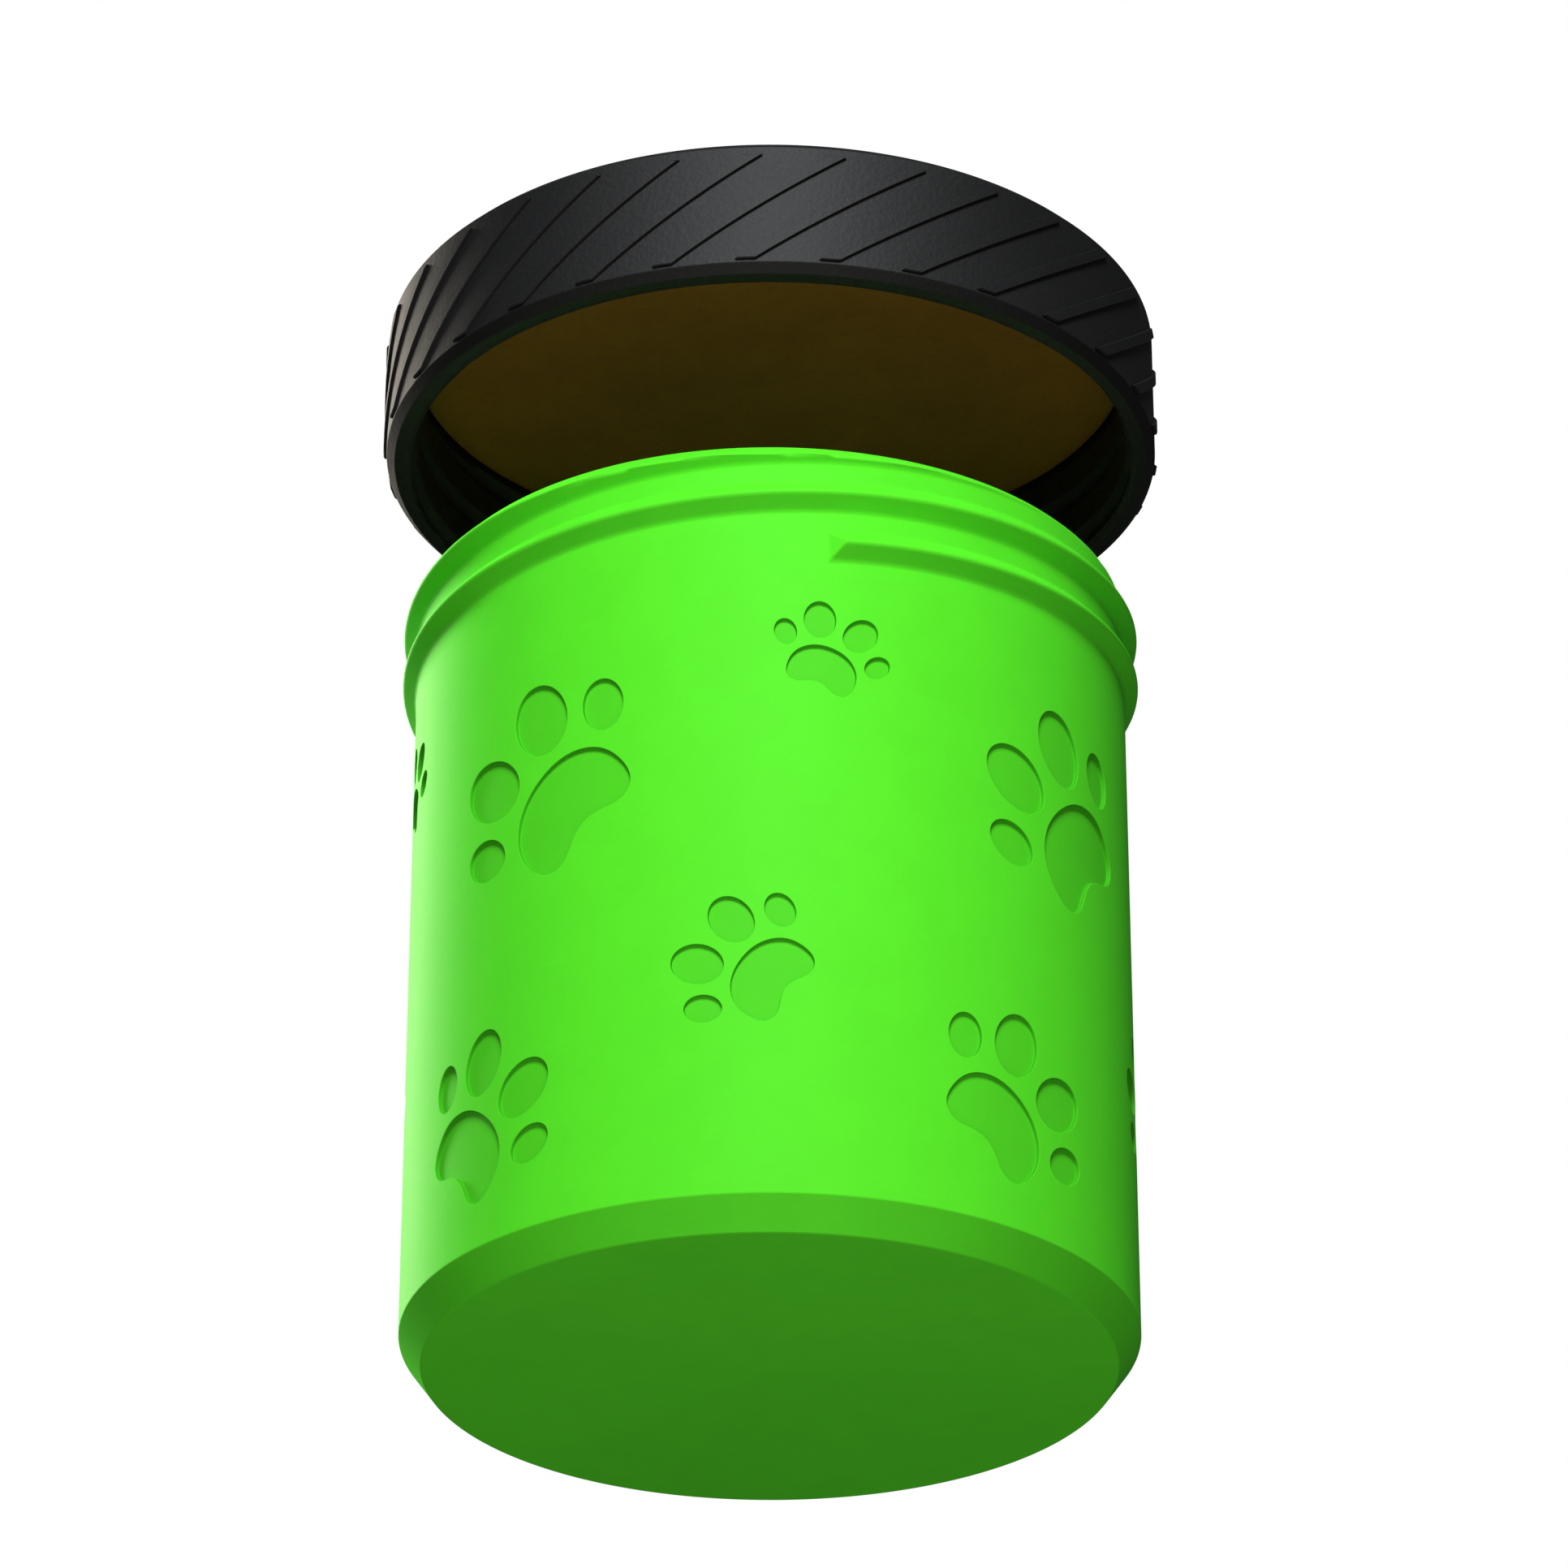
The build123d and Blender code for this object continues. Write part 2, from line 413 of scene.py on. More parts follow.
def ringed_mesh(name: str, points: Sequence[Vector], size: int) -> bpy.types.Mesh:
    """Smooth closed mesh from rings of points, capped at both ends.

    Args:
        name: the mesh's name.
        points: the points of each ring in turn, in metres.
        size: how many points a ring has.

    Returns:
        The mesh, with its faces outward.
    """
    faces = []
    last = len(points) - size
    for low in range(0, last, size):
        high = low + size
        for side in range(size):
            after = (side + 1) % size
            faces.append((low + side, low + after, high + after, high + side))
    faces.append(tuple(range(size)))
    faces.append(tuple(reversed(range(last, len(points)))))
    mesh = bpy.data.meshes.new(name)
    mesh.from_pydata(points, [], faces)
    form = bmesh.new()
    form.from_mesh(mesh)
    bmesh.ops.recalc_face_normals(form, faces=form.faces)
    form.to_mesh(mesh)
    form.free()
    mesh.shade_smooth()
    return mesh


class WrappedPatch:
    """Part of a wall, triangulated flat and wrapped round the axis in repeats."""

    def __init__(self, reference_radius: float, repeats: int) -> None:
        """Starts an empty patch.

        Args:
            reference_radius: radius at which flat widths are true.
            repeats: how many copies go round the axis.
        """
        self.reference_radius = reference_radius
        self.repeats = repeats
        self.spots: list[Point2] = []
        self.shapes: list[tuple[float, tuple[float, float, float], float]] = []
        self.chains: list[tuple[int, int]] = []

    def add(self, angle: float, height: float, radius: float, normal: tuple[float, float, float],
            mark: float = 0.0) -> int:
        """Adds a point of the wall.

        Args:
            angle: degrees from the front.
            height: height above the cup's underside.
            radius: radius of the surface there.
            normal: outward, sideways and upward parts of its normal.
            mark: value of the surface's attribute.

        Returns:
            The point's number.
        """
        self.spots.append((math.radians(float(angle)) * self.reference_radius, float(height)))
        self.shapes.append((float(radius), tuple(float(part) for part in normal), mark))
        return len(self.spots) - 1

    def chain(self, numbers: Sequence[int], closed: bool = False) -> None:
        """Keeps the edges between consecutive points."""
        self.chains.extend(zip(numbers, numbers[1:]))
        if closed:
            self.chains.append((numbers[-1], numbers[0]))

    def wrap(self, skin: Skin, facing: Facing) -> None:
        """Triangulates the patch and adds every repeat of it to a skin.

        Args:
            skin: the surface that receives it.
            facing: the way its faces look.
        """
        flat = [Vector(spot) for spot in self.spots]
        spots, _, triangles, origins, _, _ = geometry.delaunay_2d_cdt(flat, self.chains, [], 0, 1e-6)
        for repeat in range(self.repeats):
            numbers = []
            for spot, origin in zip(spots, origins):
                radius, (outward, sideways, upward), mark = self.shapes[origin[0]]
                angle = math.degrees(spot.x / self.reference_radius) + 360.0 * repeat / self.repeats
                normal = tilted_normal(angle, outward, sideways, upward) * facing.value
                numbers.append(skin.vertex(on_cylinder(angle, radius, spot.y), normal, mark))
            for a, b, c in triangles:
                area = (spots[b] - spots[a]).cross(spots[c] - spots[a])
                if abs(area) < SLIVER_AREA:
                    continue
                ahead = (area > 0.0) == (facing is Facing.OUTWARD)
                corners = (a, b, c) if ahead else (a, c, b)
                skin.faces.append(tuple(numbers[corner] for corner in corners))


@dataclass(frozen=True)
class Thread:
    """Two-start right-hand thread that the cup and the lid share."""

    starts: int = 2
    pitch: float = 6.85
    height: float = 1.75
    crest_width: float = 0.5
    start_height: float = 89.6
    start_angle: float = 9.0
    clearance: float = 0.3
    edge_round: float = 0.25
    root_round: float = 0.4

    @property
    def lead(self) -> float:
        """Rise of one start in a full turn."""
        return self.starts * self.pitch

    @property
    def half_base(self) -> float:
        """Half of a ridge's width where it meets the wall."""
        return self.crest_width / 2.0 + self.height

    def travelled(self, angle: float, start: int, turn: int) -> float:
        """Degrees along a start from its end to an angle, in a given turn."""
        first = self.start_angle + 360.0 * start / self.starts
        return (angle - first) % 360.0 + 360.0 * turn

    def centre(self, travelled: float) -> float:
        """Height of a ridge's centre line at a number of degrees from its end."""
        return self.start_height + self.lead * travelled / 360.0


RadiusAt = Callable[[float, float], float]


def field_normal(radius_at: RadiusAt, angle: float, height: float) -> tuple[float, float, float]:
    """Parts of the outward normal of a wall given by its radius.

    Args:
        radius_at: the wall's radius at an angle and a height.
        angle: degrees from the front.
        height: height above the cup's underside.

    Returns:
        Outward, sideways and upward parts, not of unit length.
    """
    radius = radius_at(angle, height)
    turn = math.degrees(NORMAL_STEP / radius)
    sideways = radius_at(angle + turn, height) - radius_at(angle - turn, height)
    upward = radius_at(angle, height + NORMAL_STEP) - radius_at(angle, height - NORMAL_STEP)
    return 1.0, -sideways / (2.0 * NORMAL_STEP), -upward / (2.0 * NORMAL_STEP)


@dataclass
class ThreadedBand:
    """Half of a threaded wall: helical lines, plain rows and a finer area at an end."""

    radius_at: RadiusAt
    low: float
    high: float
    rows: Sequence[float]
    reference_radius: float
    lines: Callable[[float], Iterable[tuple[tuple[int, int, float], float]]]
    fine_area: Callable[[float, float], bool] = lambda angle, height: False
    fine_points: Sequence[Point2] = ()
    line_clearance: float = 0.28
    edge_clearance: float = 0.12

    def build(self, facing: Facing, repeats: int) -> Skin:
        """Triangulates the band.

        Args:
            facing: the way its faces look.
            repeats: how many copies go round.

        Returns:
            A skin that holds all copies.
        """
        patch = WrappedPatch(self.reference_radius, repeats)
        open_chains: dict[tuple[int, int, float], tuple[int, int]] = {}
        edge_rows: dict[float, list[int]] = {self.low: [], self.high: []}
        sides: dict[int, list[tuple[float, int]]] = {}
        count = COLUMNS // repeats
        for column in range(count + 1):
            angle = SEAM_ANGLE + column * COLUMN_ANGLE
            at_side = column in (0, count)
            taken: list[float] = []
            here: list[tuple[float, int]] = []
            for key, height in self.lines(angle):
                if not self.low + self.edge_clearance < height < self.high - self.edge_clearance:
                    continue
                number = self._add(patch, angle, height)
                before = open_chains.get(key)
                if before and before[0] == column - 1:
                    patch.chain([before[1], number])
                open_chains[key] = (column, number)
                taken.append(height)
                here.append((height, number))
            for height in (self.low, self.high):
                number = self._add(patch, angle, height)
                edge_rows[height].append(number)
                here.append((height, number))
            for height in self.rows:
                near = any(abs(height - other) < self.line_clearance for other in taken)
                if near or self.fine_area(angle, height):
                    continue
                here.append((height, self._add(patch, angle, height)))
            if at_side:
                sides[column] = sorted(here)
        for angle, height in self.fine_points:
            self._add(patch, angle, height)
        for numbers in edge_rows.values():
            patch.chain(numbers)
        for here in sides.values():
            patch.chain([number for _, number in here])
        skin = Skin()
        patch.wrap(skin, facing)
        return skin

    def _add(self, patch: WrappedPatch, angle: float, height: float) -> int:
        """Adds a point of the wall to the patch, with its radius and normal."""
        normal = field_normal(self.radius_at, angle, height)
        return patch.add(angle, height, self.radius_at(angle, height), normal)


def merge(target: Skin, other: Skin) -> None:
    """Adds another skin's vertices and faces to a skin."""
    shift = len(target.points)
    target.points.extend(other.points)
    target.normals.extend(other.normals)
    target.marks.extend(other.marks)
    target.faces.extend(tuple(shift + number for number in face) for face in other.faces)


# ------------------------------------------------------------------ node graphs
Value = Union[float, int, "Link"]


class Link:
    """A socket of a node tree that takes part in arithmetic."""

    def __init__(self, graph: "Graph", socket: bpy.types.NodeSocket) -> None:
        """Wraps a socket.

        Args:
            graph: the graph that it belongs to.
            socket: the output socket.
        """
        self.graph = graph
        self.socket = socket

    def _maths(self, operation: str, first: Value, second: Value = 0.0) -> "Link":
        """Adds a Math node and returns its result."""
        node = self.graph.node("ShaderNodeMath", {"operation": operation}, {0: first, 1: second})
        return Link(self.graph, node.outputs[0])

    def __add__(self, other: Value) -> "Link":
        """Sum."""
        return self._maths("ADD", self, other)

    __radd__ = __add__

    def __sub__(self, other: Value) -> "Link":
        """Difference."""
        return self._maths("SUBTRACT", self, other)

    def __rsub__(self, other: Value) -> "Link":
        """Difference from a number."""
        return self._maths("SUBTRACT", other, self)

    def __mul__(self, other: Value) -> "Link":
        """Product."""
        return self._maths("MULTIPLY", self, other)

    __rmul__ = __mul__

    def __truediv__(self, other: Value) -> "Link":
        """Quotient."""
        return self._maths("DIVIDE", self, other)

    def __mod__(self, other: Value) -> "Link":
        """Remainder, never negative."""
        return self._maths("FLOORED_MODULO", self, other)

    def floor(self) -> "Link":
        """Next whole number below."""
        return self._maths("FLOOR", self)

    def spread(self, low: float, high: float) -> "Link":
        """Value moved smoothly from a range to 0 to 1, and kept inside it.

        Args:
            low: start of the range.
            high: end of the range.

        Returns:
            The mapped value.
        """
        node = self.graph.node(
            "ShaderNodeMapRange", {"interpolation_type": "SMOOTHSTEP"},
            {"Value": self, "From Min": low, "From Max": high, "To Min": 0.0, "To Max": 1.0},
        )
        return Link(self.graph, node.outputs["Result"])


class Graph:
    """Builds a node tree."""

    def __init__(self, tree: bpy.types.NodeTree) -> None:
        """Empties the tree."""
        self.tree = tree
        tree.nodes.clear()

    def node(self, kind: str, settings: Optional[dict[str, Any]] = None,
             inputs: Optional[dict[Union[str, int], Any]] = None) -> bpy.types.Node:
        """Adds a node.

        Args:
            kind: the node's type.
            settings: its own settings, which are set first.
            inputs: values or links for its sockets, by name or number.

        Returns:
            The node.
        """
        node = self.tree.nodes.new(kind)
        for name, value in (settings or {}).items():
            setattr(node, name, value)
        for name, value in (inputs or {}).items():
            socket = node.inputs[name]
            if isinstance(value, Link):
                self.tree.links.new(value.socket, socket)
            elif isinstance(value, bpy.types.NodeSocket):
                self.tree.links.new(value, socket)
            else:
                socket.default_value = value
        return node

    def out(self, node: bpy.types.Node, name: Union[str, int] = 0) -> Link:
        """Output of a node as a link."""
        return Link(self, node.outputs[name])

    def coordinates(self) -> Link:
        """Object coordinates, in metres."""
        return self.out(self.node("ShaderNodeTexCoord"), "Object")

    def stretched(self, scale: tuple[float, float, float]) -> Link:
        """Object coordinates with a scale for each axis."""
        node = self.node("ShaderNodeMapping", {}, {"Vector": self.coordinates(), "Scale": scale})
        return self.out(node)

    def noise(self, size: float, detail: float = 2.0, roughness: float = 0.5,
              vector: Optional[Link] = None) -> Link:
        """Noise whose features have a given size.

        Args:
            size: size of a feature in millimetres.
            detail: octaves of detail.
            roughness: weight of the finer octaves.
            vector: coordinates, the object's own if left out.

        Returns:
            A value round 0.5.
        """
        node = self.node(
            "ShaderNodeTexNoise", {},
            {"Vector": vector or self.coordinates(), "Scale": 1.0 / (size * MM), "Detail": detail,
             "Roughness": roughness},
        )
        return self.out(node, "Fac")

    def blend(self, factor: Value, first: Union[Colour, Link], second: Union[Colour, Link]) -> Link:
        """Mix of two colours.

        Args:
            factor: share of the second.
            first: colour or link.
            second: colour or link.

        Returns:
            The mixed colour.
        """
        node = self.node("ShaderNodeMix", {"data_type": "RGBA"})
        for number, value in ((0, factor), (6, first), (7, second)):
            socket = node.inputs[number]
            if isinstance(value, Link):
                self.tree.links.new(value.socket, socket)
            else:
                socket.default_value = (*value, 1.0) if number else value
        return Link(self, node.outputs[2])

    def bump(self, height: Link, distance: float, strength: float = 1.0,
             over: Optional[Link] = None) -> Link:
        """Normal bent by a height.

        Args:
            height: the height, 0 to 1.
            distance: what a height of 1 stands for, in millimetres.
            strength: share of the effect.
            over: a normal that this one builds on.

        Returns:
            The normal.
        """
        inputs: dict[Union[str, int], Any] = {
            "Height": height, "Distance": distance * MM, "Strength": strength,
        }
        if over:
            inputs["Normal"] = over
        return self.out(self.node("ShaderNodeBump", {}, inputs))


class Finish:
    """A surface finish: a Principled shader and the patterns that feed it."""

    name: str

    def material(self) -> bpy.types.Material:
        """Makes the material.

        Returns:
            The new material.
        """
        material = bpy.data.materials.new(self.name)
        material.use_nodes = True
        graph = Graph(material.node_tree)
        shader = graph.node("ShaderNodeBsdfPrincipled", {}, self.inputs(graph))
        graph.node("ShaderNodeOutputMaterial", {}, {"Surface": graph.out(shader)})
        return material

    def inputs(self, graph: Graph) -> dict[Union[str, int], Any]:
        """Values and links of the shader's sockets."""
        raise NotImplementedError


@dataclass(frozen=True)
class SatinPlastic(Finish):
    """Bright satin moulded plastic with faint flow marks, grain and handling wear, and painted shade
    darkening the print recesses.
    """

    name: str = "satin_green_plastic"
    base: Colour = (0.100, 0.84, 0.0230)
    deep: Colour = (0.090, 0.76, 0.0207)
    worn: Colour = (0.130, 0.85, 0.042)
    roughness: float = 0.50
    flow_size: float = 38.0
    mottle_size: float = 6.0
    grain_size: float = 0.55
    grain_depth: float = 0.010
    # Painted shade: the print recesses are mixed towards the shadow colour by this share of their attribute.
    recess_shade: float = 0.50
    shadow: Colour = (0.0, 0.0, 0.0)

    def inputs(self, graph: Graph) -> dict[Union[str, int], Any]:
        """Values and links of the shader's sockets.

        Args:
            graph: the material's graph.

        Returns:
            Values by socket name.
        """
        flow = graph.noise(self.flow_size, 3.0, 0.6, graph.stretched((1.0, 1.0, 0.35)))
        mottle = graph.noise(self.mottle_size, 4.0, 0.55)
        grain = graph.noise(self.grain_size, 3.0, 0.6)
        scuffs = graph.noise(1.1, 2.0, 0.5, graph.stretched((0.10, 0.10, 1.0)))
        patches = graph.noise(19.0, 2.0, 0.5)
        scuffed = scuffs.spread(0.63, 0.78) * patches.spread(0.52, 0.72)
        # Painted shade mask of the print recesses: highest on their upper walls, lower on their floors.
        painted_recess_shade = graph.out(graph.node("ShaderNodeAttribute", {"attribute_name": CupBody.MARK}), "Fac")
        tone = flow.spread(0.30, 0.70) * 0.45 + mottle.spread(0.35, 0.65) * 0.25 + grain * 0.30
        colour = graph.blend(tone, self.deep, self.base)
        # Painted shade: recess walls and floors darkened towards black.
        colour = graph.blend(painted_recess_shade * self.recess_shade, colour, self.shadow)
        colour = graph.blend(scuffed * 0.22, colour, self.worn)
        rough = self.roughness + mottle * 0.06 + scuffed * 0.14 + painted_recess_shade * 0.08 + (grain - 0.5) * 0.10
        normal = graph.bump(grain, self.grain_depth)
        normal = graph.bump(mottle, 0.02, 0.5, normal)
        return {"Base Color": colour, "Roughness": rough, "Normal": normal, "IOR": 1.49,
                "Specular IOR Level": 0.05}


@dataclass(frozen=True)
class TexturedPlastic(Finish):
    """Black moulded plastic with a fine spark-eroded texture, dust and rub marks."""

    name: str = "textured_black_plastic"
    base: Colour = (0.0042, 0.0045, 0.0049)
    faded: Colour = (0.0066, 0.0070, 0.0075)
    dust: Colour = (0.045, 0.045, 0.044)
    roughness: float = 0.54
    texture_size: float = 0.26
    texture_depth: float = 0.060
    pebble_size: float = 0.7

    def inputs(self, graph: Graph) -> dict[Union[str, int], Any]:
        """Values and links of the shader's sockets.

        Args:
            graph: the material's graph.

        Returns:
            Values by socket name.
        """
        texture = graph.noise(self.texture_size, 3.0, 0.65)
        cells = graph.node(
            "ShaderNodeTexVoronoi", {"feature": "SMOOTH_F1"},
            {"Vector": graph.coordinates(), "Scale": 1.0 / (self.pebble_size * MM), "Smoothness": 0.6},
        )
        pebble = graph.out(cells, "Distance")
        fade = graph.noise(24.0, 3.0, 0.55)
        dust = graph.noise(2.6, 4.0, 0.7)
        rubbed = graph.noise(0.9, 2.0, 0.5, graph.stretched((0.12, 0.12, 1.0)))
        marks = rubbed.spread(0.64, 0.80) * fade.spread(0.45, 0.70)
        colour = graph.blend(fade.spread(0.30, 0.72) * 0.7 + texture * 0.3, self.base, self.faded)
        colour = graph.blend(dust.spread(0.60, 0.86) * 0.10 + marks * 0.10, colour, self.dust)
        rough = self.roughness + texture * 0.10 + fade * 0.06 - marks * 0.10
        normal = graph.bump(texture * 0.6 + pebble * 0.5, self.texture_depth)
        return {"Base Color": colour, "Roughness": rough, "Normal": normal, "IOR": 1.50,
                "Specular IOR Level": 0.36}


@dataclass(frozen=True)
class MattSealing(Finish):
    """Mustard sealing sheet: a matt, slightly fibrous disc with a pressed face."""

    name: str = "matt_mustard_sealing"
    base: Colour = (0.235, 0.106, 0.0105)
    dark: Colour = (0.187, 0.081, 0.0080)
    pore: Colour = (0.135, 0.057, 0.0045)
    roughness: float = 0.72

    def inputs(self, graph: Graph) -> dict[Union[str, int], Any]:
        """Values and links of the shader's sockets.

        Args:
            graph: the material's graph.

        Returns:
            Values by socket name.
        """
        fibre = graph.noise(0.5, 4.0, 0.7)
        cloud = graph.noise(16.0, 3.0, 0.6)
        pores = graph.noise(1.4, 2.0, 0.5).spread(0.58, 0.74)
        colour = graph.blend(cloud.spread(0.3, 0.7) * 0.6 + fibre * 0.4, self.dark, self.base)
        colour = graph.blend(pores * 0.25, colour, self.pore)
        rough = self.roughness + fibre * 0.12
        normal = graph.bump(fibre - pores * 0.4, 0.03)
        return {"Base Color": colour, "Roughness": rough, "Normal": normal, "IOR": 1.45,
                "Specular IOR Level": 0.25}


@dataclass(frozen=True)
class SoftSilicone(Finish):
    """Pale green silicone with a powdery face."""

    name: str = "pale_green_silicone"
    base: Colour = (0.46, 0.78, 0.30)
    deep: Colour = (0.36, 0.68, 0.22)
    roughness: float = 0.55

    def inputs(self, graph: Graph) -> dict[Union[str, int], Any]:
        """Values and links of the shader's sockets.

        Args:
            graph: the material's graph.

        Returns:
            Values by socket name.
        """
        cloud = graph.noise(14.0, 3.0, 0.6)
        powder = graph.noise(0.6, 3.0, 0.6)
        colour = graph.blend(cloud.spread(0.3, 0.7) * 0.7 + powder * 0.3, self.deep, self.base)
        rough = self.roughness + powder * 0.14
        normal = graph.bump(powder, 0.010)
        return {"Base Color": colour, "Roughness": rough, "Normal": normal, "IOR": 1.43,
                "Sheen Weight": 0.25, "Subsurface Weight": 0.12, "Subsurface Scale": 0.004}


# ------------------------------------------------------------------ repeats
@dataclass(frozen=True)
class RingRepeat:
    """Geometry Nodes tree that repeats a piece in staggered rings about the axis."""

    columns: int
    rows: int = 1
    row_pitch: float = 0.0
    stagger: float = 0.0
    first_angle: float = 0.0
    wobble_angle: float = 0.0
    seed: int = 7

    def _tree(self, name: str, material: bpy.types.Material) -> bpy.types.NodeTree:
        """Builds the tree.

        Args:
            name: the tree's name.
            material: the material that it sets.

        Returns:
            The node group.
        """
        tree = bpy.data.node_groups.new(name, "GeometryNodeTree")
        sockets = [
            ("Geometry", "INPUT", "NodeSocketGeometry"), ("Columns", "INPUT", "NodeSocketInt"),
            ("Rows", "INPUT", "NodeSocketInt"), ("Row Pitch", "INPUT", "NodeSocketFloat"),
            ("Stagger", "INPUT", "NodeSocketFloat"), ("First Angle", "INPUT", "NodeSocketFloat"),
            ("Wobble", "INPUT", "NodeSocketFloat"), ("Seed", "INPUT", "NodeSocketInt"),
            ("Geometry", "OUTPUT", "NodeSocketGeometry"),
        ]
        for label, way, kind in sockets:
            tree.interface.new_socket(name=label, in_out=way, socket_type=kind)
        graph = Graph(tree)
        given = graph.node("NodeGroupInput")
        columns = graph.out(given, "Columns")
        index = graph.out(graph.node("GeometryNodeInputIndex"))
        row = (index / columns).floor()
        step = index - row * columns + row % 2.0 * graph.out(given, "Stagger")
        chance = graph.node(
            "FunctionNodeRandomValue", {"data_type": "FLOAT"},
            {"Min": -1.0, "Max": 1.0, "ID": index, "Seed": graph.out(given, "Seed")},
        )
        turn = step * math.tau / columns + graph.out(given, "First Angle")
        turn = turn + graph.out(chance, "Value") * graph.out(given, "Wobble")
        place = graph.node("ShaderNodeCombineXYZ", {}, {2: row * graph.out(given, "Row Pitch")})
        spin = graph.node("ShaderNodeCombineXYZ", {}, {2: turn})
        points = graph.node(
            "GeometryNodePoints", {},
            {"Count": columns * graph.out(given, "Rows"), "Position": graph.out(place)},
        )
        copies = graph.node(
            "GeometryNodeInstanceOnPoints", {},
            {"Points": graph.out(points), "Instance": graph.out(given, "Geometry"),
             "Rotation": graph.out(spin)},
        )
        solid = graph.node("GeometryNodeRealizeInstances", {}, {0: graph.out(copies)})
        dressed = graph.node(
            "GeometryNodeSetMaterial", {}, {"Geometry": graph.out(solid), "Material": material},
        )
        graph.node("NodeGroupOutput", {}, {0: graph.out(dressed)})
        return tree

    def apply(self, piece: bpy.types.Object, material: bpy.types.Material) -> None:
        """Replaces a piece's mesh with its repeats.

        Args:
            piece: the object whose mesh is one unit.
            material: the finish of every unit.
        """
        tree = self._tree(piece.name + "_repeat", material)
        values = {
            "Columns": self.columns, "Rows": self.rows, "Row Pitch": self.row_pitch * MM,
            "Stagger": self.stagger, "First Angle": math.radians(self.first_angle),
            "Wobble": math.radians(self.wobble_angle), "Seed": self.seed,
        }
        modifier = piece.modifiers.new("repeat", "NODES")
        modifier.node_group = tree
        for socket in tree.interface.items_tree:
            if socket.in_out == "INPUT" and socket.name in values:
                modifier[socket.identifier] = values[socket.name]
        bpy.context.view_layer.update()
        evaluated = piece.evaluated_get(bpy.context.evaluated_depsgraph_get())
        mesh = bpy.data.meshes.new_from_object(evaluated)
        piece.modifiers.remove(modifier)
        unit = piece.data
        piece.data = mesh
        mesh.name = piece.name
        bpy.data.meshes.remove(unit)


# ------------------------------------------------------------------ pieces
@dataclass(frozen=True)
class PawPrint:
    """Place, size and turn of one paw print on the unrolled wall."""

    angle: float
    height: float
    size: float
    turn: float


@dataclass
class SubAssembly:
    """A sub-assembly: it builds its pieces, dresses them and hands them to the frame."""

    def build(self) -> list[bpy.types.Object]:
        """Makes the sub-assembly's pieces, dressed and riding on their body."""
        raise NotImplementedError

    @staticmethod
    def hand_over(piece: bpy.types.Object, body: Body, slot: Slot, *nodes: Node) -> bpy.types.Object:
        """Puts a finished piece on its body.

        Args:
            piece: the finished object.
            body: the body that it moves with.
            slot: the record's material slot; not used.
            nodes: CAD nodes that it stands for.

        Returns:
            The same object.
        """
        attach(piece, body.value)
        if nodes:
            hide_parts(*(node.value for node in nodes))
        return piece


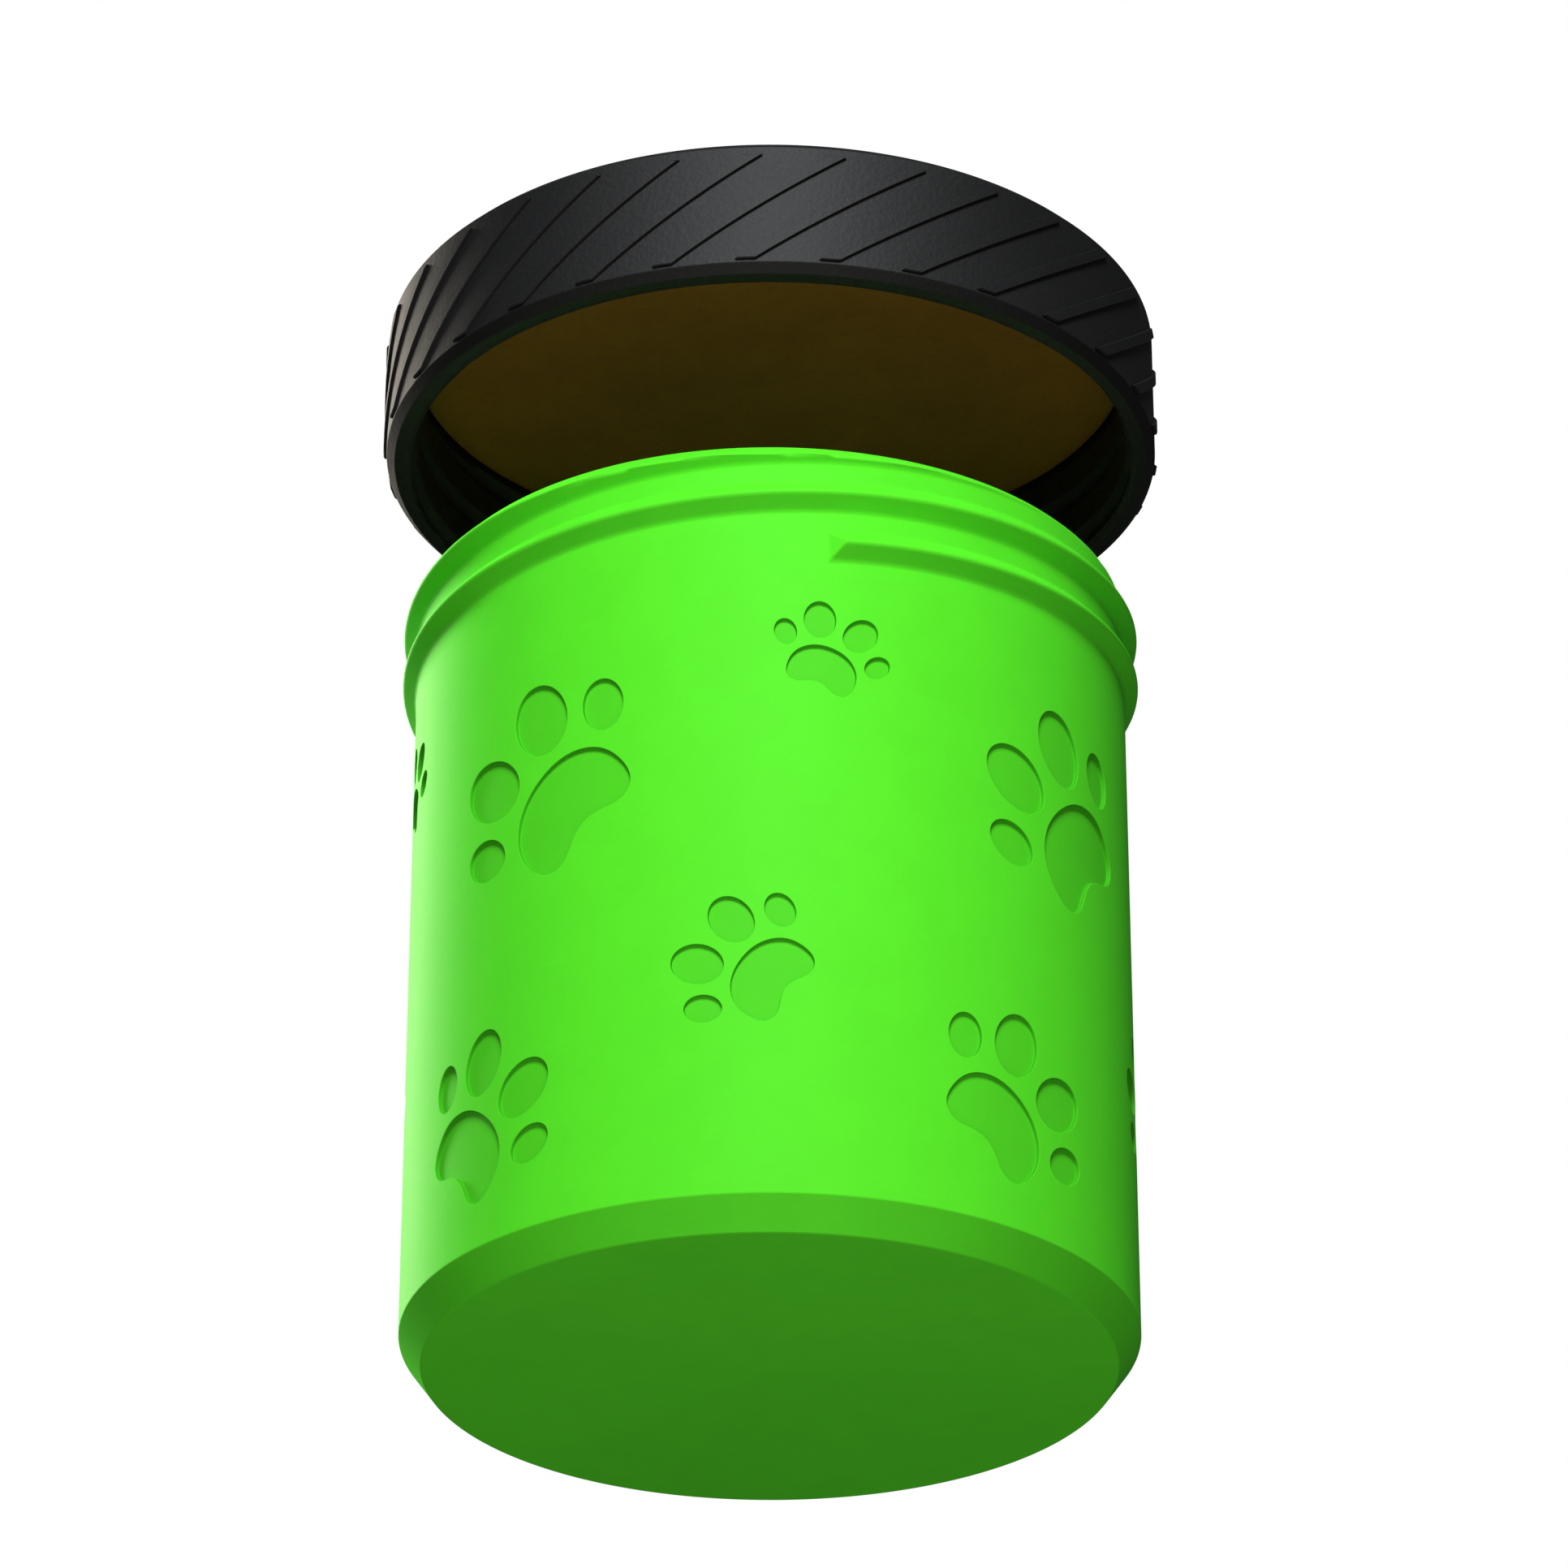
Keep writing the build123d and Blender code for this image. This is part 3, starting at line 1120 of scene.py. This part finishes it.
@dataclass
class CupBody(SubAssembly):
    """Cup: turned inside and base, outer wall with recessed prints, threaded mouth."""

    # Attribute that carries the painted shade weight of the print recesses.
    MARK = "painted_recess_shade"

    thread: Thread
    finish: Finish
    radius: float = 45.0
    height: float = 103.7
    wall: float = 2.8
    floor: float = 3.0
    chamfer_width: float = 2.8
    chamfer_height: float = 3.85
    rim_chamfer: float = 0.8
    seat_depth: float = 2.0
    seat_width: float = 1.1
    print_depth: float = 0.5
    # Painted shade weight on the print floors.
    floor_painted_shade: float = 0.32
    print_repeats: int = 4
    outline_spacing: float = 0.42
    outline_clearance: float = 0.40
    oval_points: int = 90
    patch_low: float = 4.3
    patch_high: float = 85.9
    patch_rows: int = 32
    rim_row: float = 103.55
    prints: Sequence[PawPrint] = (
        PawPrint(8.0, 72.52, 0.50, -20.0),
        PawPrint(57.3, 57.37, 1.00, 41.0),
        PawPrint(0.1, 31.40, 0.65, 54.0),
        PawPrint(36.5, 16.41, 0.84, -38.0),
    )
    pad_half: Sequence[Point2] = (
        (0.0, 6.6), (4.6, 5.6), (7.8, 2.6), (8.6, -1.0), (7.3, -4.5), (5.4, -5.1), (3.1, -4.3),
        (0.0, -3.35),
    )
    right_toes: Sequence[tuple[float, float, float, float, float]] = (
        (5.3, 12.8, 3.95, 5.0, -20.0), (11.95, 6.6, 2.75, 3.55, -30.0),
    )

    def print_outlines(self) -> list[np.ndarray]:
        """Outlines of every pad and toe of one repeat, on the unrolled wall.

        Returns:
            Counter-clockwise loops of (width, height) rows.
        """
        mirrored = [(-x, y) for x, y in reversed(self.pad_half[1:-1])]
        loops = []
        for paw in self.prints:
            spacing = self.outline_spacing / paw.size
            pad = closed_curve([*self.pad_half, *mirrored], spacing)[::-1]
            shapes = [pad]
            for x, y, half_width, half_height, tilt in self.right_toes:
                for side in (1.0, -1.0):
                    turns = np.linspace(0.0, math.tau, self.oval_points, endpoint=False)
                    oval = np.column_stack([half_width * np.cos(turns), half_height * np.sin(turns)])
                    oval = evenly_spaced(self.turned(oval, side * tilt), spacing)
                    shapes.append(oval + np.array((side * x, y)))
            origin = np.array((math.radians(paw.angle) * self.radius, paw.height))
            loops.extend(self.turned(shape * paw.size, paw.turn) + origin for shape in shapes)
        return loops

    @staticmethod
    def turned(loop: np.ndarray, angle: float) -> np.ndarray:
        """Loop turned about its origin by an angle in degrees."""
        cosine, sine = math.cos(math.radians(angle)), math.sin(math.radians(angle))
        return loop @ np.array(((cosine, sine), (-sine, cosine)))

    def printed_wall(self) -> Skin:
        """Plain part of the outer wall with its recessed prints.

        Returns:
            The surface of all four repeats.
        """
        # Offset outward from the outline, depth below the wall, tilt of the normal and mark (the painted
        # shade weight).
        deep = self.print_depth
        steps = (
            (0.06, 0.0, 0.0, 0.0), (0.02, 0.02, 40.0, 0.1), (0.0, 0.06, 80.0, 0.9),
            (-0.03, deep - 0.08, 82.0, 1.0), (-0.06, deep - 0.02, 42.0, 0.5),
            (-0.12, deep, 0.0, self.floor_painted_shade),
        )
        patch = WrappedPatch(self.radius, self.print_repeats)
        loops = self.print_outlines()
        for loop in loops:
            outward = loop_normals(loop)
            for offset, depth, tilt, mark in steps:
                cosine, sine = math.cos(math.radians(tilt)), math.sin(math.radians(tilt))
                numbers = []
                for (width, height), (side, up) in zip(loop + outward * offset, outward):
                    angle = math.degrees(width / self.radius)
                    normal = (cosine, -side * sine, -up * sine)
                    numbers.append(patch.add(angle, height, self.radius - depth, normal, mark))
                patch.chain(numbers, closed=True)
        count = COLUMNS // self.print_repeats
        angles = SEAM_ANGLE + COLUMN_ANGLE * np.arange(count + 1)
        heights = np.linspace(self.patch_low, self.patch_high, self.patch_rows)
        widths = np.radians(angles) * self.radius
        grid = np.array([(width, height) for width in widths for height in heights])
        distance = np.min([signed_distance(grid, loop) for loop in loops], axis=0)
        nearest = np.min([np.abs(signed_distance(grid, loop)) for loop in loops], axis=0)
        border: dict[str, list[int]] = {"low": [], "high": [], "left": [], "right": []}
        for number in range(len(grid)):
            column, row = divmod(number, self.patch_rows)
            if nearest[number] < self.outline_clearance:
                continue
            inside = distance[number] < 0.0
            depth = deep if inside else 0.0
            # Grid points inside a print get the floor's painted shade weight.
            mark = self.floor_painted_shade if inside else 0.0
            added = patch.add(angles[column], heights[row], self.radius - depth, (1.0, 0.0, 0.0), mark)
            for side, here in (("left", column == 0), ("right", column == count),
                               ("low", row == 0), ("high", row == self.patch_rows - 1)):
                if here:
                    border[side].append(added)
        for numbers in border.values():
            patch.chain(numbers)
        skin = Skin()
        patch.wrap(skin, Facing.OUTWARD)
        return skin

    def mouth_radius(self, angle: float, height: float) -> float:
        """Radius of the threaded mouth's outer surface.

        Args:
            angle: degrees from the front.
            height: height above the underside.

        Returns:
            The radius.
        """
        thread = self.thread
        rise = 0.0
        for start in range(thread.starts):
            for turn in (-1, 0, 1):
                along = thread.travelled(angle, start, turn)
                flank = thread.half_base - abs(height - thread.centre(along))
                ramp = self.radius * math.radians(along)
                if min(flank, ramp) < -1.0:
                    continue
                ridge = soft_min(flank, thread.height, thread.edge_round)
                rise = max(rise, soft_max(soft_min(ridge, ramp, thread.edge_round), 0.0, thread.root_round))
        bevel = self.radius - self.rim_chamfer + self.height - height
        return soft_min(self.radius + rise, bevel, thread.edge_round)

    def mouth_lines(self, angle: float) -> Iterable[tuple[tuple[int, int, float], float]]:
        """Helical lines that cross an angle, each with its name and height."""
        thread = self.thread
        fine_until, last_turn_ends = 3.7, 719.0
        crest, root = thread.crest_width / 2.0, thread.half_base
        offsets = (
            0.0, crest - 0.10, crest + 0.05, crest + 0.25, root - 0.38, root - 0.14, root + 0.1,
            root + 0.38,
        )
        for start in range(thread.starts):
            for turn in (0, 1):
                along = thread.travelled(angle, start, turn)
                if along < fine_until:
                    continue
                line = turn if along < last_turn_ends else 2
                for offset in offsets:
                    for side in ((1.0, -1.0) if offset else (1.0,)):
                        yield (start, line, side * offset), thread.centre(along) + side * offset

    def threaded_mouth(self) -> Skin:
        """Outer wall from the plain part up to the rim, with both ridges.

        Returns:
            The surface of both halves.
        """
        thread = self.thread
        begin, end, reach = -1.1, 3.6, thread.half_base + 0.6

        def in_fine_area(angle: float, height: float) -> bool:
            """Whether a point lies at the ridge's ramped end."""
            along = (angle - thread.start_angle + 180.0) % 360.0 - 180.0
            return begin - 0.3 < along < end + 0.3 and abs(height - thread.centre(along)) < reach + 0.2

        fine = [
            (thread.start_angle + along, thread.centre(along) + offset)
            for along in np.linspace(begin, end, 24)
            for offset in np.linspace(-reach, reach, 27)
        ]
        rows = [*np.arange(self.patch_high + 1.2, 100.6, 1.15), *np.arange(100.7, self.rim_row - 0.1, 0.32)]
        band = ThreadedBand(
            self.mouth_radius, self.patch_high, self.rim_row, rows, self.radius,
            self.mouth_lines, in_fine_area, fine,
        )
        return band.build(Facing.OUTWARD, thread.starts)

    def turned_parts(self) -> Skin:
        """Base below the printed wall, and everything from the rim to the inside floor.

        Returns:
            The two turned surfaces.
        """
        inner = self.radius - self.wall
        seat_radius = inner + self.seat_width
        seat = self.height - self.seat_depth
        base = [
            Corner(0.0, 0.0),
            Corner(self.radius - self.chamfer_width, 0.0, 0.35),
            Corner(self.radius, self.chamfer_height, 0.45),
            Corner(self.radius, self.patch_low),
        ]
        bevel = self.height - self.rim_row
        inside = [
            Corner(self.radius - self.rim_chamfer + bevel, self.rim_row),
            Corner(self.radius - self.rim_chamfer, self.height, 0.20),
            Corner(seat_radius, self.height, 0.20),
            Corner(seat_radius, seat, 0.15),
            Corner(inner, seat, 0.20),
            Corner(inner, self.floor, 1.2),
            Corner(0.0, self.floor),
        ]
        skin = Skin()
        skin.lathe(rounded_section(base))
        skin.lathe(rounded_section(inside))
        return skin

    def build(self) -> list[bpy.types.Object]:
        """Makes the cup.

        Returns:
            The cup's one piece.
        """
        skin = self.turned_parts()
        merge(skin, self.printed_wall())
        merge(skin, self.threaded_mouth())
        cup = skin.to_object("cup_shell", self.MARK)
        cup.data.materials.append(self.finish.material())
        return [self.hand_over(cup, Body.CUP, Slot.GREEN, Node.CUP)]


@dataclass
class BristleSleeve(SubAssembly):
    """Silicone sleeve that hangs on the seat, and its ring of bristles."""

    finish: Finish
    wall: float = 1.8
    seat_height: float = 101.7
    flange_reach: float = 1.1
    rows: int = 9
    columns: int = 28
    bristle_length: float = 15.0
    root_radius: float = 1.1
    tip_radius: float = 0.55
    root_sink: float = 0.35
    end_margin: float = 7.0
    bristle_sides: int = 10

    def sleeve(self) -> bpy.types.Object:
        """Makes the tube with its flange."""
        low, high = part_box(Node.SLEEVE.value)
        flange = high.x / MM
        outer = flange - self.flange_reach
        inner = outer - self.wall
        bottom, top = low.z / MM, high.z / MM
        waist = (bottom + self.seat_height) / 2.0
        section = [
            Corner(inner, waist),
            Corner(inner, bottom, 0.5),
            Corner(outer, bottom, 0.5),
            Corner(outer, self.seat_height, 0.2),
            Corner(flange, self.seat_height, 0.25),
            Corner(flange, top, 0.4),
            Corner(inner, top, 0.7),
            Corner(inner, waist),
        ]
        skin = Skin()
        skin.lathe(rounded_section(section))
        return skin.to_object("silicone_sleeve")

    def bristle(self, sleeve_radius: float, height: float) -> bpy.types.Object:
        """Makes one bristle at the front, which points at the axis.

        Args:
            sleeve_radius: radius of the sleeve's inner face.
            height: height of the bristle's axis.

        Returns:
            The object that the repeats are made from.
        """
        root = sleeve_radius + self.root_sink
        tip = sleeve_radius - self.bristle_length
        profile = (
            (root, self.root_radius * 1.12), (sleeve_radius - 0.9, self.root_radius * 0.96),
            (tip + 0.9, self.tip_radius), (tip + 0.25, self.tip_radius * 0.82),
            (tip, self.tip_radius * 0.35),
        )
        points = []
        for distance, radius in profile:
            for side in range(self.bristle_sides):
                turn = math.tau * side / self.bristle_sides
                across, up = radius * math.cos(turn), radius * math.sin(turn)
                points.append(Vector((across, -distance, height + up)) * MM)
        name = "sleeve_bristle_field"
        return link_object(name, ringed_mesh(name, points, self.bristle_sides))

    def build(self) -> list[bpy.types.Object]:
        """Makes the sleeve and its bristles.

        Returns:
            Both pieces.
        """
        material = self.finish.material()
        sleeve = self.sleeve()
        sleeve.data.materials.append(material)
        low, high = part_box(Node.SLEEVE.value)
        inner = high.x / MM - self.flange_reach - self.wall
        lowest = low.z / MM + self.end_margin
        pitch = (self.seat_height - self.end_margin - lowest) / (self.rows - 1)
        bristles = self.bristle(inner, lowest)
        RingRepeat(self.columns, self.rows, pitch, 0.5, 0.0, 0.35).apply(bristles, material)
        return [
            self.hand_over(sleeve, Body.CUP, Slot.SILICONE, Node.SLEEVE),
            self.hand_over(bristles, Body.CUP, Slot.SILICONE, Node.BRISTLES),
        ]


@dataclass
class ScrewLid(SubAssembly):
    """Lid: turned shell with its internal thread, and a ring of slanted grip ribs."""

    thread: Thread
    finish: Finish
    bore_radius: float = 45.95
    groove_radius: float = 47.05
    relief_radius: float = 47.1
    wall_radius: float = 49.8
    plate: float = 1.5
    relief_height: float = 2.2
    outer_chamfer: float = 1.1
    top_chamfer: float = 1.1
    mouth_chamfer: float = 0.75
    annulus_radius: float = 47.5
    rib_count: int = 30
    rib_height: float = 0.40
    rib_sink: float = 0.4
    rib_width_angle: float = 2.9
    rib_slant_angle: float = 25.0
    rib_first_angle: float = 8.35
    rib_margin_low: float = 1.5
    rib_margin_high: float = 2.3
    rib_bevel: float = 0.12
    rib_steps: int = 22
    rib_sharp_angle: float = 30.0

    def __post_init__(self) -> None:
        """Takes the lid's place from the frame."""
        low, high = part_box(Node.LID.value)
        self.bottom = low.z / MM
        self.top = high.z / MM
        self.plate_underside = self.top - self.plate
        self.relief_bottom = self.plate_underside - self.relief_height

    @property
    def land_half_root(self) -> float:
        """Half width of the land between two grooves, at their root."""
        thread = self.thread
        axial = thread.clearance * math.sqrt(2.0)
        return thread.pitch / 2.0 - (thread.crest_width / 2.0 + axial - thread.clearance)

    def land_offset(self, angle: float, height: float) -> float:
        """Distance along the axis from the nearest land's centre line."""
        thread = self.thread
        centre = thread.start_height + thread.lead * (angle - thread.start_angle) / 360.0
        return (height - centre) % thread.pitch - thread.pitch / 2.0

    def thread_radius(self, angle: float, height: float) -> float:
        """Radius of the lid's inner surface in its threaded part.

        Args:
            angle: degrees from the front.
            height: height above the cup's underside.

        Returns:
            The radius.
        """
        thread = self.thread
        flank = self.land_half_root - abs(self.land_offset(angle, height))
        land = soft_min(flank, self.groove_radius - self.bore_radius, thread.edge_round)
        land = soft_max(land, 0.0, thread.root_round)
        mouth = self.bore_radius + self.mouth_chamfer - (height - self.bottom)
        fade = min(max((self.relief_bottom - height) / 0.25, 0.0), 1.0)
        return soft_max(self.groove_radius - land * fade, mouth, thread.edge_round)

    def thread_lines(self, angle: float) -> Iterable[tuple[tuple[int, int, float], float]]:
        """Helical lines that cross an angle, each with its name and height."""
        thread = self.thread
        root = self.land_half_root
        crest = root - (self.groove_radius - self.bore_radius)
        offsets = (0.0, crest - 0.2, crest - 0.02, crest + 0.2, root - 0.35, root - 0.12, root + 0.12)
        base = thread.start_height + thread.lead * (angle - thread.start_angle) / 360.0 + thread.pitch / 2.0
        for winding in range(2, 12):
            centre = base + winding * thread.pitch
            for offset in offsets:
                for side in ((1.0, -1.0) if offset else (1.0,)):
                    yield (winding, 0, side * offset), centre + side * offset

    def threaded_bore(self) -> Skin:
        """Inner surface from the mouth to the relief above the thread.

        Returns:
            The surface of both halves.
        """
        low, high = self.bottom + 0.05, self.relief_bottom
        rows = [*np.arange(low + 0.25, low + 1.3, 0.25), *np.arange(low + 1.9, high - 0.5, 1.2), high - 0.25]
        band = ThreadedBand(self.thread_radius, low, high, rows, self.groove_radius, self.thread_lines)
        skin = band.build(Facing.INWARD, self.thread.starts)
        inner, outer = [], []
        for column in range(COLUMNS):
            angle = SEAM_ANGLE + column * COLUMN_ANGLE
            radius = self.thread_radius(angle, low)
            inner.append(skin.vertex(on_cylinder(angle, radius, low), tilted_normal(angle, -0.7, 0.0, -0.7)))
            rim = on_cylinder(angle, self.annulus_radius, self.bottom)
            outer.append(skin.vertex(rim, Vector((0.0, 0.0, -1.0))))
        skin.bridge(inner, outer)
        return skin

    def turned_parts(self) -> Skin:
        """Outside of the lid, and the relief and plate inside it."""
        outside = [
            Corner(self.annulus_radius, self.bottom),
            Corner(self.wall_radius - self.outer_chamfer, self.bottom, 0.22),
            Corner(self.wall_radius, self.bottom + self.outer_chamfer, 0.30),
            Corner(self.wall_radius, self.top - self.top_chamfer, 0.15),
            Corner(self.wall_radius - self.top_chamfer, self.top, 0.40),
            Corner(0.0, self.top),
        ]
        inside = [
            Corner(0.0, self.plate_underside),
            Corner(self.relief_radius, self.plate_underside, 0.3),
            Corner(self.relief_radius, self.relief_bottom + 0.06, 0.01),
            Corner(self.groove_radius, self.relief_bottom),
        ]
        skin = Skin()
        skin.lathe(rounded_section(outside))
        skin.lathe(rounded_section(inside, 3))
        return skin

    def rib(self) -> bpy.types.Object:
        """Makes one slanted rib with bevelled edges, half sunk in the wall.

        Returns:
            The object that the repeats are made from.
        """
        low = self.bottom + self.rib_margin_low
        high = self.top - self.rib_margin_high
        half = math.radians(self.rib_width_angle / 2.0) * self.wall_radius
        outer, inner = self.wall_radius + self.rib_height, self.wall_radius - self.rib_sink
        bevel = self.rib_bevel
        section = [
            (-half, inner), (-half, outer - bevel), (-half + bevel, outer), (-half / 3.0, outer),
            (half / 3.0, outer), (half - bevel, outer), (half, outer - bevel), (half, inner),
        ]
        heights = [low, low + bevel, *np.linspace(low, high, self.rib_steps)[1:-1], high - bevel, high]
        points = []
        for height in heights:
            slant = self.rib_slant_angle * (height - low) / (high - low)
            capped = height in (low, high)
            for width, radius in section:
                angle = self.rib_first_angle + slant + math.degrees(width / self.wall_radius)
                reach = min(radius, outer - bevel) if capped else radius
                points.append(on_cylinder(angle, reach, height) * MM)
        mesh = ringed_mesh("lid_grip_ribs", points, len(section))
        mesh.set_sharp_from_angle(angle=math.radians(self.rib_sharp_angle))
        return link_object("lid_grip_ribs", mesh)

    def build(self) -> list[bpy.types.Object]:
        """Makes the lid's shell and ribs.

        Returns:
            Both pieces.
        """
        material = self.finish.material()
        skin = self.turned_parts()
        merge(skin, self.threaded_bore())
        shell = skin.to_object("lid_screw_shell")
        shell.data.materials.append(material)
        ribs = self.rib()
        RingRepeat(self.rib_count).apply(ribs, material)
        return [
            self.hand_over(shell, Body.LID, Slot.BLACK, Node.LID),
            self.hand_over(ribs, Body.LID, Slot.BLACK),
        ]


@dataclass
class LidLiner(SubAssembly):
    """Sealing disc that lies in the relief above the lid's thread."""

    finish: Finish
    edge_round: float = 0.22

    def build(self) -> list[bpy.types.Object]:
        """Makes the disc.

        Returns:
            The liner's one piece.
        """
        low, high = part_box(Node.LINER.value)
        radius = high.x / MM
        section = [
            Corner(0.0, low.z / MM),
            Corner(radius, low.z / MM, self.edge_round),
            Corner(radius, high.z / MM, self.edge_round),
            Corner(0.0, high.z / MM),
        ]
        skin = Skin()
        skin.lathe(rounded_section(section))
        disc = skin.to_object("sealing_disc")
        disc.data.materials.append(self.finish.material())
        return [self.hand_over(disc, Body.LINER, Slot.MUSTARD, Node.LINER)]


# ------------------------------------------------------------------ studio
@dataclass(frozen=True)
class Softbox:
    """A soft round light that looks at the object."""

    name: str
    azimuth: float
    elevation: float
    distance: float
    size: float
    power: float
    colour: Colour = (1.0, 1.0, 1.0)
    diffuse: bool = True
    glossy: bool = True

    def place(self, target: Vector) -> None:
        """Adds the light.

        Args:
            target: the point that it looks at.
        """
        lamp = bpy.data.lights.new(self.name, "AREA")
        lamp.shape = "DISK"
        lamp.size = self.size
        lamp.energy = self.power
        lamp.color = self.colour
        light = bpy.data.objects.new(self.name, lamp)
        turn, rise = math.radians(self.azimuth), math.radians(self.elevation)
        way = Vector((math.sin(turn) * math.cos(rise), -math.cos(turn) * math.cos(rise), math.sin(rise)))
        light.location = target + way * self.distance
        light.rotation_euler = way.to_track_quat("Z", "Y").to_euler()
        light.visible_camera = False
        light.visible_diffuse = self.diffuse
        light.visible_glossy = self.glossy
        bpy.context.scene.collection.objects.link(light)


@dataclass
class Studio:
    """Camera, soft lights, pale floor and white surroundings."""

    camera_place: tuple[float, float, float] = (0.0, -0.74624, -0.30766)
    camera_pitch: float = 0.4794
    camera_yaw: float = 0.0023
    lens: float = 152.62
    sensor: float = 36.0
    floor_size: float = 6.0
    floor_drop: float = 0.0002
    floor_colour: Colour = (0.86, 0.865, 0.87)
    floor_speckle: Colour = (0.84, 0.845, 0.85)
    ambient: float = 0.12
    mirrored: float = 0.05
    lights: Sequence[Softbox] = field(default_factory=lambda: (
        Softbox("key", 0.0, 35.0, 0.70, 0.30, 5.25, (0.96, 0.985, 1.0)),
        Softbox("rim_left", -134.0, 26.0, 0.9, 0.22, 12.0, (1.0, 0.95, 0.86), glossy=False),
        Softbox("sheen_left", -138.0, 24.0, 0.9, 0.50, 5.4, (1.0, 0.92, 0.78), diffuse=False),
        Softbox("below", 0.0, -45.0, 0.34, 0.35, 0.38, (1.0, 0.82, 0.86)),
        Softbox("back", 178.0, 48.0, 1.6, 0.9, 12.0, glossy=False),
    ))

    def camera(self) -> None:
        """Adds the camera and makes it the scene's."""
        data = bpy.data.cameras.new("camera")
        data.lens = self.lens
        data.sensor_width = self.sensor
        data.sensor_fit = "HORIZONTAL"
        data.clip_start = 0.01
        camera = bpy.data.objects.new("camera", data)
        camera.location = self.camera_place
        camera.rotation_euler = (math.pi / 2.0 + self.camera_pitch, 0.0, -self.camera_yaw)
        bpy.context.scene.collection.objects.link(camera)
        bpy.context.scene.camera = camera

    def floor(self) -> None:
        """Adds the floor, which only shows from above and lets light through from below."""
        half = self.floor_size / 2.0
        corners = [(-half, -half), (half, -half), (half, half), (-half, half)]
        mesh = bpy.data.meshes.new("floor")
        mesh.from_pydata([(x, y, -self.floor_drop) for x, y in corners], [], [(0, 1, 2, 3)])
        floor = link_object("floor", mesh)
        material = bpy.data.materials.new("pale_floor")
        material.use_nodes = True
        graph = Graph(material.node_tree)
        grain = graph.noise(3.0, 3.0, 0.6)
        colour = graph.blend(grain.spread(0.3, 0.7) * 0.5, self.floor_colour, self.floor_speckle)
        paint = graph.node("ShaderNodeBsdfPrincipled", {}, {"Base Color": colour, "Roughness": 0.85})
        clear = graph.node("ShaderNodeBsdfTransparent")
        seen = graph.out(graph.node("ShaderNodeLightPath"), "Is Camera Ray")
        below = graph.out(graph.node("ShaderNodeNewGeometry"), "Backfacing")
        cover = seen * (1.0 - below)
        mixed = graph.node("ShaderNodeMixShader", {}, {0: cover, 1: graph.out(clear), 2: graph.out(paint)})
        graph.node("ShaderNodeOutputMaterial", {}, {"Surface": graph.out(mixed)})
        mesh.materials.append(material)

    def surroundings(self) -> None:
        """White to the camera, and a weak even light on the object."""
        world = bpy.data.worlds.new("surroundings")
        world.use_nodes = True
        graph = Graph(world.node_tree)
        path = graph.node("ShaderNodeLightPath")
        seen, mirrored = graph.out(path, "Is Camera Ray"), graph.out(path, "Is Glossy Ray")
        strength = self.ambient + seen * (1.0 - self.ambient) + mirrored * (self.mirrored - self.ambient)
        light = graph.node("ShaderNodeBackground", {}, {"Color": (1.0, 1.0, 1.0, 1.0), "Strength": strength})
        graph.node("ShaderNodeOutputWorld", {}, {"Surface": graph.out(light)})
        bpy.context.scene.world = world

    def build(self) -> None:
        """Sets the whole studio up round the object."""
        self.camera()
        self.floor()
        self.surroundings()
        low, high = CAD_BOUNDS
        middle = (Vector(low) + Vector(high)) / 2.0
        for light in self.lights:
            light.place(middle)
        bpy.context.scene.view_settings.view_transform = "Standard"


def main() -> None:
    """Builds the studio and every sub-assembly."""
    logging.basicConfig(level=logging.INFO, format="%(name)s: %(message)s")
    Studio().build()
    thread = Thread()
    assemblies: Sequence[SubAssembly] = (
        CupBody(thread, SatinPlastic()),
        BristleSleeve(SoftSilicone()),
        ScrewLid(thread, TexturedPlastic()),
        LidLiner(MattSealing()),
    )
    for assembly in assemblies:
        for piece in assembly.build():
            log.info("%s: %d faces", piece.name, len(piece.data.polygons))


if __name__ == "__main__":
    main()
